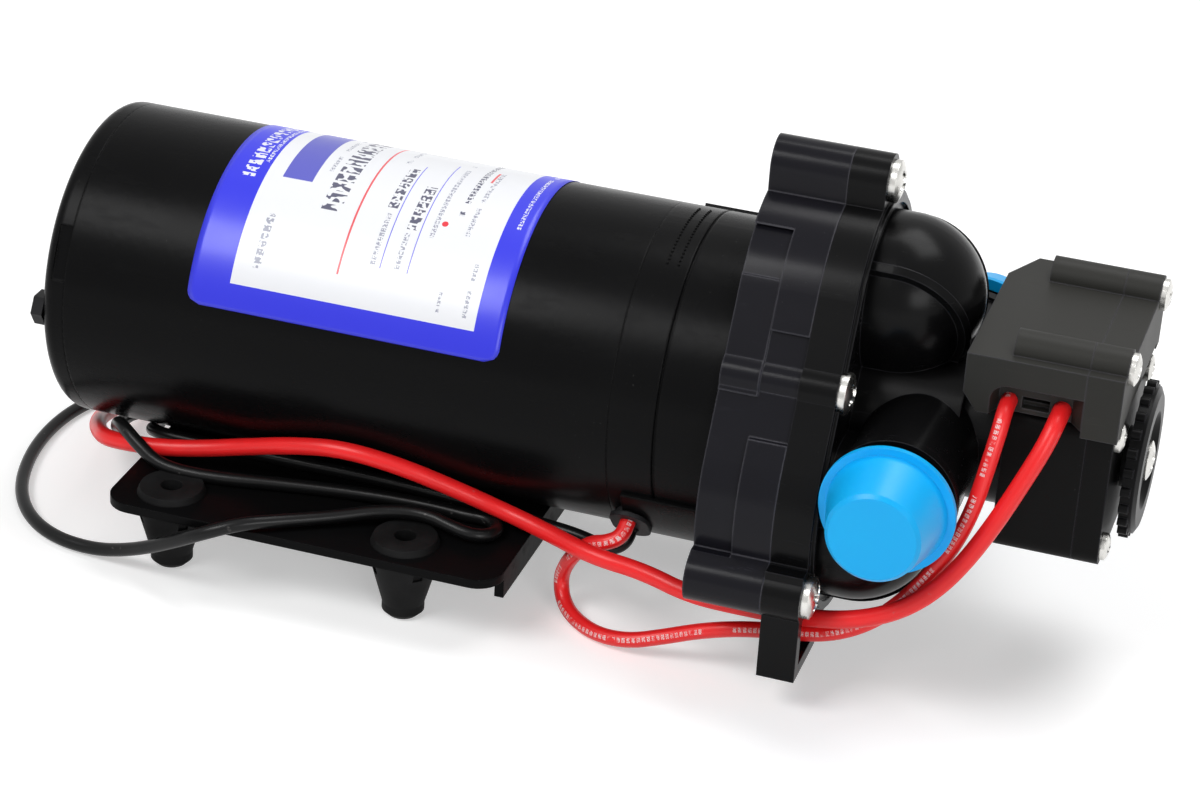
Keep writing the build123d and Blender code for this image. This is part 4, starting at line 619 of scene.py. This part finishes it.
class Tree:
    """A Geometry Nodes tree with named inputs, run once on an empty mesh to make one piece."""

    def __init__(self, name):
        self.tree = bpy.data.node_groups.new(name, "GeometryNodeTree")
        self.tree.interface.new_socket(
            "Geometry", in_out="OUTPUT", socket_type="NodeSocketGeometry"
        )
        self.inputs = self.tree.nodes.new("NodeGroupInput")
        self.output = self.tree.nodes.new("NodeGroupOutput")
        self.values = {}

    def size(self, name, value):
        """A named input for one size."""
        kind = "NodeSocketInt" if type(value) is int else "NodeSocketFloat"
        socket = self.tree.interface.new_socket(name, in_out="INPUT", socket_type=kind)
        self.values[socket.identifier] = value
        return self.inputs.outputs[name]

    def node(self, kind, settings=None, inputs=None, output=0):
        return add_node(self.tree, kind, settings, inputs).outputs[output]

    def maths(self, operation, first, second=0.0):
        return self.node("ShaderNodeMath", {"operation": operation}, {0: first, 1: second})

    def vector(self, x, y, z):
        return self.node("ShaderNodeCombineXYZ", {}, {0: x, 1: y, 2: z})

    def made(self, name, geometry, finish, body="pump", slot=None):
        """Realizes the tree's instances and returns the plain mesh piece."""
        real = self.node("GeometryNodeRealizeInstances", {}, {0: geometry})
        coated = self.node("GeometryNodeSetMaterial", {}, {0: real, "Material": finish})
        self.tree.links.new(coated, self.output.inputs[0])
        holder = bpy.data.objects.new(name + "_tree", bpy.data.meshes.new(name + "_tree"))
        scene.collection.objects.link(holder)
        modifier = holder.modifiers.new("tree", "NODES")
        modifier.node_group = self.tree
        for identifier, value in self.values.items():
            modifier[identifier] = value
        depsgraph = bpy.context.evaluated_depsgraph_get()
        mesh = bpy.data.meshes.new_from_object(holder.evaluated_get(depsgraph))
        holder.modifiers.clear()
        bpy.data.objects.remove(holder)
        mesh.name = name
        return riding(name, mesh, body)


# Leads


def lead_curve(name, route):
    """NURBS curve with a lead's route as its control points."""
    curve = bpy.data.curves.new(name, "CURVE")
    curve.dimensions = "3D"
    curve.resolution_u = 8
    spline = curve.splines.new("NURBS")
    spline.points.add(len(route) - 1)
    for point, place in zip(spline.points, route):
        point.co = (*[c * MM for c in place], 1)
    spline.order_u = 3
    spline.use_endpoint_u = True
    return curve


def line_of(curve):
    """The points, in metres, that a curve without bevel passes through."""
    holder = bpy.data.objects.new("line", curve)
    scene.collection.objects.link(holder)
    depsgraph = bpy.context.evaluated_depsgraph_get()
    mesh = bpy.data.meshes.new_from_object(holder.evaluated_get(depsgraph))
    points = np.array([vertex.co for vertex in mesh.vertices], float)
    bpy.data.objects.remove(holder)
    keep = np.r_[True, np.linalg.norm(np.diff(points, axis=0), axis=1) > same_place]
    return points[keep]


def frames_along(points):
    """Tangents and a pair of normals that don't twist, for each point of a line."""
    tangents = np.gradient(points, axis=0)
    tangents /= np.linalg.norm(tangents, axis=1)[:, None]
    side = np.cross(tangents[0], (0, 0, 1))
    if np.linalg.norm(side) < 0.1:
        side = np.cross(tangents[0], (1, 0, 0))
    sides = []
    for tangent in tangents:
        side = side - tangent * side.dot(tangent)
        side = side / np.linalg.norm(side)
        sides.append(side)
    sides = np.array(sides)
    return tangents, sides, np.cross(tangents, sides)


lead_sides = 20


def lead_piece(name, points, radius, finish):
    """Closed tube along a line, with its length and its turn as UV."""
    _, sides, lifts = frames_along(points)
    lengths = np.r_[0, np.cumsum(np.linalg.norm(np.diff(points, axis=0), axis=1))]
    places = []
    uvs = []
    for centre, side, lift, length in zip(points / MM, sides, lifts, lengths):
        for index in range(lead_sides + 1):
            turn = 2 * math.pi * index / lead_sides
            places.append(centre + radius * (side * math.cos(turn) + lift * math.sin(turn)))
            uvs.append((length, index / lead_sides))
    ring = lead_sides + 1
    faces = []
    for row in range(len(points) - 1):
        for index in range(lead_sides):
            low = row * ring + index
            faces.append((low, low + 1, low + ring + 1, low + ring))
    for row, step in ((0, -1), (len(points) - 1, 1)):
        rim = [row * ring + index for index in range(lead_sides)]
        faces.append(tuple(rim[::step]))
    made = piece(name, places, faces, finish, "pump", True, uvs)
    outward(made.data)
    made.data.polygons[-1].use_smooth = False
    made.data.polygons[-2].use_smooth = False
    return made


box_wall_y = -19.8
grommet_face = 37.0
lead_hole_station = 72.4
supply_route = [
    (158.9, box_wall_y, 68.5),
    (158.9, -25.6, 68.5),
    (157.5, -29.4, 63.6),
    (154.2, -32.4, 55.8),
    (150.4, -35.0, 47.3),
    (145.7, -37.9, 38.5),
    (140.2, -40.2, 31.2),
    (133.0, -40.9, 25.2),
    (123.4, -39.7, 20.4),
    (111.8, -38.8, 18.1),
    (100.2, -38.8, 17.8),
    (89.3, -39.2, 18.3),
    (78.5, -36.8, 20.0),
    (67.4, -36.8, 21.0),
    (54.8, -30.2, 20.6),
    (43.2, -27.2, 21.8),
    (33.0, -29.7, 26.1),
    (21.7, -32.4, 30.3),
    (8.8, -33.6, 32.2),
    (-3.6, -32.0, 29.3),
    (-14.3, -29.2, 25.2),
    (-24.4, -29.0, 22.4),
    (-33.0, -30.2, 21.2),
    (-41.4, -30.0, 20.3),
    (-48.6, -27.6, 18.9),
    (-52.6, -22.8, 17.2),
    (-56.6, -15.8, 14.8),
    (-60.0, -7.2, 11.6),
    (-61.8, 2.2, 8.6),
    (-61.4, 11.8, 6.2),
    (-58.8, 20.4, 4.2),
    (-54.4, 29.0, 2.8),
    (-52.2, 38.2, 2.1),
    (-53.4, 46.6, 2.0),
]
link_route = [
    (148.1, box_wall_y, 68.5),
    (148.1, -25.4, 68.5),
    (147.8, -28.8, 63.8),
    (146.8, -31.6, 56.8),
    (145.6, -34.2, 49.2),
    (143.0, -35.3, 41.0),
    (138.6, -36.2, 32.8),
    (132.8, -36.2, 24.4),
    (126.8, -36.9, 18.6),
    (118.8, -37.6, 14.7),
    (109.6, -38.0, 13.6),
    (100.6, -38.0, 12.0),
    (92.2, -37.6, 9.2),
    (84.6, -37.4, 5.8),
    (77.0, -38.2, 3.2),
    (69.2, -36.4, 1.9),
    (62.6, -32.0, 1.9),
    (58.6, -27.6, 3.2),
    (57.2, -25.2, 7.2),
    (59.0, -27.4, 12.2),
    (61.8, -30.4, 17.2),
    (65.6, -31.8, 21.2),
    (69.0, -33.0, 22.6),
    (71.9, -31.8, 24.0),
    around(lead_hole_station, 219.1, grommet_face),
    around(lead_hole_station, 219.1, 32.0),
]
black_route = [
    around(lead_hole_station, 225.9, 32.0),
    around(lead_hole_station, 225.9, grommet_face),
    (71.9, -28.2, 20.6),
    (69.3, -29.0, 19.0),
    (65.6, -27.6, 18.6),
    (60.8, -25.8, 18.6),
    (55.0, -25.2, 18.9),
    (48.4, -24.9, 19.1),
    (38.6, -23.2, 19.0),
    (28.0, -21.8, 18.9),
    (16.8, -20.9, 18.9),
    (4.6, -20.7, 18.9),
    (-7.6, -21.0, 18.9),
    (-18.6, -20.7, 18.9),
    (-28.6, -21.2, 19.0),
    (-36.6, -21.8, 19.3),
    (-41.4, -19.2, 18.5),
    (-44.4, -12.8, 15.0),
    (-45.4, -8.2, 12.9),
    (-46.4, -3.4, 12.4),
    (-49.8, -1.0, 12.2),
    (-53.4, -3.2, 12.3),
    (-53.8, -8.8, 12.9),
    (-51.8, -14.8, 14.9),
    (-49.4, -20.6, 18.0),
    (-46.2, -26.8, 23.2),
    (-43.4, -30.2, 24.4),
    (-38.8, -33.0, 22.6),
    (-33.4, -34.6, 19.6),
    (-26.4, -35.0, 18.9),
    (-16.6, -33.8, 18.9),
    (-5.2, -31.2, 18.9),
    (7.6, -28.8, 18.9),
    (19.8, -27.4, 18.9),
    (29.2, -27.1, 18.9),
    (36.0, -27.8, 18.9),
    (40.2, -27.4, 18.9),
    (43.6, -29.2, 18.9),
    (44.2, -32.6, 18.9),
    (41.6, -35.6, 19.1),
    (37.2, -35.9, 19.7),
    (28.6, -33.6, 20.8),
    (19.6, -36.0, 20.6),
    (10.2, -41.0, 19.4),
    (0.8, -46.4, 19.2),
    (-6.4, -51.2, 19.4),
    (-13.6, -54.2, 17.0),
    (-20.4, -52.8, 12.8),
    (-27.6, -50.6, 8.4),
    (-34.8, -48.2, 4.6),
    (-42.4, -46.6, 2.1),
    (-51.0, -45.2, 1.6),
    (-58.6, -41.6, 1.6),
    (-64.8, -35.8, 1.6),
    (-69.8, -28.0, 1.6),
    (-73.2, -19.0, 1.6),
    (-75.4, -9.4, 1.6),
    (-76.2, 0.6, 1.6),
    (-75.2, 10.6, 1.6),
    (-71.8, 19.8, 1.6),
    (-67.4, 27.8, 1.6),
    (-62.6, 35.4, 1.6),
]
supply_radius = 1.9
link_radius = 1.7
black_radius = 1.5


supply_line = line_of(lead_curve("supply_route", supply_route))
link_line = line_of(lead_curve("link_route", link_route))
black_line = line_of(lead_curve("black_route", black_route))
supply_lead = lead_piece("supply_lead", supply_line, supply_radius, red_lead_skin)
link_lead = lead_piece("link_lead", link_line, link_radius, link_lead_skin)
black_lead = lead_piece("black_lead", black_line, black_radius, black_lead_skin)
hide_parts("red_supply_lead")
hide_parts("red_link_lead")
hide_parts("black_motor_lead")

# Stripped ends: six strands twisted round a seventh
twisted_strands = 6
strand_radius = 0.27
strand_circle = 0.56
strand_length = 8.0
strand_twist = 2.6
strand_splay = 0.35
strand_step = 0.12
strand_tuck = 0.6
strand_steps = 26
strand_sides = 8


def stripped_end(name, line):
    """The bare strands past the end of a lead, twisted together and slightly splayed."""
    tangents, sides, lifts = frames_along(line)
    start, tangent, side, lift = line[-1] / MM, tangents[-1], sides[-1], lifts[-1]
    places = []
    faces = []
    for strand in range(twisted_strands + 1):
        centres = []
        for step in range(strand_steps):
            share = step / (strand_steps - 1)
            turn = 2 * math.pi * (strand / twisted_strands + strand_twist * share)
            reach = strand_circle * (1 + strand_splay * share**3)
            if strand == twisted_strands:
                reach = 0
            length = strand_length - strand_step * (strand % 3)
            along = length * share - strand_tuck * (1 - share)
            outward_way = side * math.cos(turn) + lift * math.sin(turn)
            centres.append(start + tangent * along + reach * outward_way)
        centres = np.array(centres)
        _, first, second = frames_along(centres)
        base = len(places)
        for centre, one, two in zip(centres, first, second):
            for index in range(strand_sides):
                turn = 2 * math.pi * index / strand_sides
                skin_way = one * math.cos(turn) + two * math.sin(turn)
                places.append(centre + strand_radius * skin_way)
        for step in range(strand_steps - 1):
            for index in range(strand_sides):
                low = base + step * strand_sides + index
                beside = base + step * strand_sides + (index + 1) % strand_sides
                faces.append((low, beside, beside + strand_sides, low + strand_sides))
        faces.append(tuple(base + index for index in reversed(range(strand_sides))))
        last = base + (strand_steps - 1) * strand_sides
        faces.append(tuple(last + index for index in range(strand_sides)))
    made = piece(name, places, faces, tinned_copper, "pump")
    outward(made.data)
    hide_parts("bare_lead_ends")
    return made


supply_strands = stripped_end("supply_lead_strands", supply_line)
black_strands = stripped_end("black_lead_strands", black_line)

# Label: a thin curved sheet with rounded corners on the near side
label_columns = 48
label_rows = 96


def label_sheet():
    """The label's two skins and its rim, with millimetres of the sheet as UV."""
    places = []
    uvs = []
    faces = []
    for layer_radius in (label_radius, label_radius - label_thickness):
        for row in range(label_rows + 1):
            rise = label_rise * row / label_rows
            edge = min(rise, label_rise - rise)
            cut = 0.0
            if edge < label_corner:
                inner = label_corner - edge
                cut = label_corner - math.sqrt(label_corner**2 - inner**2)
            low_x = label_start + cut
            high_x = label_end - cut
            angle = label_low_angle - math.degrees(rise / label_radius)
            for column in range(label_columns + 1):
                station = low_x + (high_x - low_x) * column / label_columns
                places.append(around(station, angle, layer_radius))
                across = station - label_start
                uvs.append((across / label_uv_scale, rise / label_uv_scale))
    width = label_columns + 1
    layer = width * (label_rows + 1)
    for row in range(label_rows):
        for column in range(label_columns):
            low = row * width + column
            quad = (low, low + 1, low + width + 1, low + width)
            faces.append(quad)
            faces.append(tuple(index + layer for index in reversed(quad)))
    rim = list(range(width))
    rim += [row * width + label_columns for row in range(1, label_rows + 1)]
    rim += [label_rows * width + column for column in reversed(range(label_columns))]
    rim += [row * width for row in reversed(range(1, label_rows))]
    for first, second in zip(rim, rim[1:] + rim[:1]):
        faces.append((second, first, first + layer, second + layer))
    outward(piece("motor_label", places, faces, label_print, "pump", True, uvs).data)


label_sheet()

# Screws: pan heads with a cross recess, placed by a tree

def screw_mesh(name, head_radius, head_height):
    """One pan head along X, with a cross pressed into its crown."""
    crown = 14
    fine = 48
    crown_fall = 0.42
    cross_reach = 0.62 * head_radius
    cross_half_width = 0.16 * head_radius
    cross_depth = 0.58
    cross_taper = 0.55
    skirt_height = 0.22
    sharpest_smooth = math.radians(38)
    places = []
    faces = []
    for ring in range(crown + 1):
        reach = ring / crown
        height = 1.0 - crown_fall * reach**2.6
        for index in range(fine):
            turn = 2 * math.pi * index / fine
            y = head_radius * reach * math.cos(turn)
            z = head_radius * reach * math.sin(turn)
            across_arm = min(abs(y), abs(z))
            along_arm = max(abs(y), abs(z))
            taper = cross_taper * along_arm / cross_reach
            if along_arm < cross_reach and across_arm < cross_half_width * (1.15 - taper):
                places.append((head_height * (height - cross_depth * (1 - taper)), y, z))
            else:
                places.append((head_height * height, y, z))
    for height in (skirt_height, 0.0):
        for index in range(fine):
            turn = 2 * math.pi * index / fine
            y = head_radius * math.cos(turn)
            z = head_radius * math.sin(turn)
            places.append((head_height * height, y, z))
    last_ring = crown + 2
    for ring in range(last_ring):
        for index in range(fine):
            low = ring * fine + index
            side = ring * fine + (index + 1) % fine
            faces.append((low, side, side + fine, low + fine))
    faces.append(tuple(last_ring * fine + index for index in range(fine)))
    mesh = bpy.data.meshes.new(name)
    mesh.from_pydata([[c * MM for c in place] for place in places], [], faces)
    for polygon in mesh.polygons:
        polygon.use_smooth = True
    outward(mesh, sharpest_smooth)
    return mesh


def screw_set(name, station, places, head_radius, head_height, body="pump", turns=None):
    """Screws at (y, z) places on a face across the axis, each with its own turn."""
    points = bpy.data.meshes.new(name + "_places")
    points.from_pydata([(station * MM, y * MM, z * MM) for y, z in places], [], [])
    turn_layer = points.attributes.new("turn", "FLOAT", "POINT")
    for index, entry in enumerate(turn_layer.data):
        entry.value = turns[index] if turns else 0.7 * index
    points_object = bpy.data.objects.new(name + "_places", points)
    head_mesh = screw_mesh(name + "_head", head_radius, head_height)
    head_object = bpy.data.objects.new(name + "_head", head_mesh)
    tree = Tree(name + "_tree")
    scale = tree.size("head scale", 1.0)
    spots = tree.node("GeometryNodeObjectInfo", {}, {"Object": points_object}, "Geometry")
    head = tree.node("GeometryNodeObjectInfo", {}, {"Object": head_object}, "Geometry")
    turn = tree.node("GeometryNodeInputNamedAttribute", {"data_type": "FLOAT"}, {"Name": "turn"})
    spots = tree.node("GeometryNodeMeshToPoints", {}, {"Mesh": spots})
    placed = tree.node(
        "GeometryNodeInstanceOnPoints",
        {},
        {
            "Points": spots,
            "Instance": head,
            "Rotation": tree.vector(turn, 0.0, 0.0),
            "Scale": tree.vector(scale, scale, scale),
        },
    )
    made = tree.made(name, placed, screw_steel, body, "steel")
    bpy.data.objects.remove(points_object)
    bpy.data.objects.remove(head_object)
    return made


def disc_place(radius, angle):
    """Place on a face across the pump's axis."""
    turn = math.radians(angle)
    return (radius * math.cos(turn), axis_height + radius * math.sin(turn))


top_screw_radius = 52
leg_screw_radius = 50
leg_screw_drop = 26.8
inner_screw_radius = 33.5
housing_places = [
    disc_place(top_screw_radius, 90),
    disc_place(leg_screw_radius, 180 + leg_screw_drop),
    disc_place(leg_screw_radius, -leg_screw_drop),
]
housing_places += [disc_place(inner_screw_radius, angle) for angle in (30, 150, 270)]
housing_turns = [0.4, 0.9, 0.2, 1.1, 0.3, 0.75]
housing_heads = screw_set(
    "housing_screw_heads", face_station, housing_places, 4.5, 2.6, "pump", housing_turns
)
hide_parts("housing_screws")
end_screw_across = 17
end_screw_lift = 12.6
end_places = [
    (side * end_screw_across, axis_height + lift * end_screw_lift)
    for side in (-1, 1)
    for lift in (-1, 1)
]
end_heads = screw_set("end_cover_screw_heads", end_cover_station, end_places, 2.9, 1.8)
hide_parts("end_cover_screws")
box_screw_across = 18.5
box_screw_height = 78.8
box_places = [(side * box_screw_across, box_screw_height) for side in (-1, 1)]
box_turns = [0.3, 1.0]
box_heads = screw_set(
    "switch_box_screw_heads", switch_box_station, box_places, 3.4, 2.0, "pump", box_turns
)
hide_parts("switch_box_screws")
adjuster_head = screw_set(
    "adjuster_screw_head", adjuster_station, [(0, axis_height)], 4.2, 2.2, "adjuster", [0.5]
)
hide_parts("adjuster_screw")


# Raised dots and the grommet's pad on the front cover, and threads on the ports
dots_station = 74.4
dots_spacing = 2.4
dot_radius = 0.3


def cover_dots():
    """Two rows of small raised dots moulded round a stretch of the front cover."""
    tree = Tree("cover_dots_tree")
    first = tree.size("first angle", math.radians(78))
    turn = tree.size("angle covered", math.radians(38))
    count = tree.size("dots in a row", 22)
    grid = tree.node(
        "GeometryNodeMeshGrid",
        {},
        {"Size X": dots_spacing * MM, "Size Y": 1.0, "Vertices X": 2, "Vertices Y": count},
    )
    spots = tree.node("GeometryNodeMeshToPoints", {}, {"Mesh": grid})
    place = tree.node("GeometryNodeInputPosition")
    x = tree.node("ShaderNodeSeparateXYZ", {}, {0: place}, "X")
    share = tree.node("ShaderNodeSeparateXYZ", {}, {0: place}, "Y")
    turned = tree.maths("MULTIPLY", tree.maths("ADD", share, 0.5), turn)
    angle = tree.maths("ADD", first, turned)
    reach = motor_radius * MM
    lift = tree.maths("MULTIPLY", tree.maths("SINE", angle), reach)
    wrapped = tree.vector(
        tree.maths("ADD", x, dots_station * MM),
        tree.maths("MULTIPLY", tree.maths("COSINE", angle), reach),
        tree.maths("ADD", lift, axis_height * MM),
    )
    spots = tree.node("GeometryNodeSetPosition", {}, {"Geometry": spots, "Position": wrapped})
    dot = tree.node(
        "GeometryNodeMeshIcoSphere", {}, {"Radius": dot_radius * MM, "Subdivisions": 2}
    )
    placed = tree.node("GeometryNodeInstanceOnPoints", {}, {"Points": spots, "Instance": dot})
    tree.made("cover_dots", placed, satin_black, "pump", "motor_paint")


thread_radius = 10.35
thread_across = 39.0


def port_thread(name, side):
    """A rounded thread wound round the end of one port."""
    tree = Tree(name + "_tree")
    turns = tree.size("turns", 3.2)
    pitch = tree.size("pitch", 2.1 * MM)
    ridge = tree.size("ridge radius", 0.55 * MM)
    spiral = tree.node(
        "GeometryNodeCurveSpiral",
        {},
        {
            "Resolution": 40,
            "Rotations": turns,
            "Start Radius": thread_radius * MM,
            "End Radius": thread_radius * MM,
            "Height": tree.maths("MULTIPLY", turns, pitch),
        },
    )
    ring = tree.node("GeometryNodeCurvePrimitiveCircle", {}, {"Resolution": 8, "Radius": ridge})
    wound = tree.node("GeometryNodeCurveToMesh", {}, {0: spiral, 1: ring, "Fill Caps": True})
    placed = tree.node(
        "GeometryNodeTransform",
        {},
        {
            "Geometry": wound,
            "Translation": (port_station * MM, side * thread_across * MM, axis_height * MM),
            "Rotation": (-side * math.pi / 2, 0, 0),
        },
    )
    tree.made(name, placed, spigot_black, "pump", "black_plastic")


pad_start = 71.2
pad_end = 87.7
pad_low_angle = 205.0
pad_high_angle = 237.0
pad_height = 1.0
pad_root = 0.2
pad_columns = 33
pad_rows = 40
grommet_angle = 222.5
grommet_half_along = 3.4
grommet_half_angle = 8.6


def pad_station(column):
    return pad_start + (pad_end - pad_start) * column / pad_columns


def pad_angle(row):
    return pad_low_angle + (pad_high_angle - pad_low_angle) * row / pad_rows


def pad_kept(column, row):
    """Whether a cell of the pad's grid is on the pad and clear of the grommet."""
    if not (0 <= column < pad_columns and 0 <= row < pad_rows):
        return False
    along = (pad_station(column + 0.5) - lead_hole_station) / grommet_half_along
    round_it = (pad_angle(row + 0.5) - grommet_angle) / grommet_half_angle
    return math.hypot(along, round_it) > 1


def grommet_pad():
    """Low raised pad on the front cover, open in the middle where the leads' grommet sits."""
    places = []
    for radius in (motor_radius - pad_root, motor_radius + pad_height):
        for row in range(pad_rows + 1):
            for column in range(pad_columns + 1):
                places.append(around(pad_station(column), pad_angle(row), radius))
    width = pad_columns + 1
    layer = width * (pad_rows + 1)
    faces = []
    for row in range(pad_rows):
        for column in range(pad_columns):
            if not pad_kept(column, row):
                continue
            low = row * width + column
            ring = [low, low + 1, low + width + 1, low + width]
            faces.append(tuple(index + layer for index in ring))
            faces.append(tuple(reversed(ring)))
            beside = ((column, row - 1), (column + 1, row), (column, row + 1), (column - 1, row))
            for side, neighbour in enumerate(beside):
                if not pad_kept(*neighbour):
                    first, second = ring[side], ring[(side + 1) % 4]
                    faces.append((first, second, second + layer, first + layer))
    outward(piece("grommet_pad", places, faces, satin_black, "pump", False).data)


cover_dots()
grommet_pad()
port_thread("near_port_thread", -1)
port_thread("far_port_thread", 1)

# Stage: a pale floor that turns white away from the pump, and a dim room that looks white
floor_reach = 6
corners = [(x * floor_reach, y * floor_reach, 0) for x, y in ((-1, -1), (1, -1), (1, 1), (-1, 1))]
floor_mesh = bpy.data.meshes.new("floor")
floor_mesh.from_pydata(corners, [], [(0, 1, 2, 3)])
floor = bpy.data.objects.new("floor", floor_mesh)
scene.collection.objects.link(floor)
floor_finish = Finish("white_floor")
distance = floor_finish.node(
    "ShaderNodeVectorMath", {"operation": "LENGTH"}, {0: floor_finish.place}, "Value"
)
whiter = floor_finish.ramp(distance, 0.25, 1.6, 0.42, 1.0)
seen_white = floor_finish.background_seen() * whiter
glow = floor_finish.node("ShaderNodeEmission", {}, {"Strength": seen_white})
diffuse = floor_finish.node("ShaderNodeBsdfDiffuse", {}, {"Color": tone(0.8, 0.8, 0.8)})
floor_finish.shown(floor_finish.node("ShaderNodeAddShader", {}, {0: diffuse, 1: glow}))
floor_mesh.materials.append(floor_finish.material)

room_light = 0.2
room = bpy.data.worlds.new("studio")
room.use_nodes = True
scene.world = room
sky = Shading(room.node_tree)
sky_strength = sky.ramp(sky.background_seen(), 0.0, 1.0, room_light, 1.0)
sky.shown(sky.node("ShaderNodeBackground", {}, {"Strength": sky_strength}), "World")


def soft_light(name, place, aim, width, height, power):
    """Large rectangular light in metres and watts, aimed at a point."""
    data = bpy.data.lights.new(name, "AREA")
    data.shape = "RECTANGLE"
    data.size = width
    data.size_y = height
    data.energy = power
    lamp = bpy.data.objects.new(name, data)
    turned = (Vector(place) - Vector(aim)).to_track_quat("Z", "Y")
    lamp.matrix_world = Matrix.Translation(Vector(place)) @ turned.to_matrix().to_4x4()
    scene.collection.objects.link(lamp)


soft_light("key_light", (-0.5, -0.75, 1.1), (0.03, 0, 0.04), 0.7, 0.5, 9.4)
soft_light("top_light", (0.3, 0.35, 1.2), (0.05, 0, 0.04), 0.9, 0.6, 9)
soft_light("front_light", (0.75, -0.9, 0.45), (0.08, 0, 0.04), 0.5, 0.4, 3.6)

scene.view_settings.view_transform = "Standard"
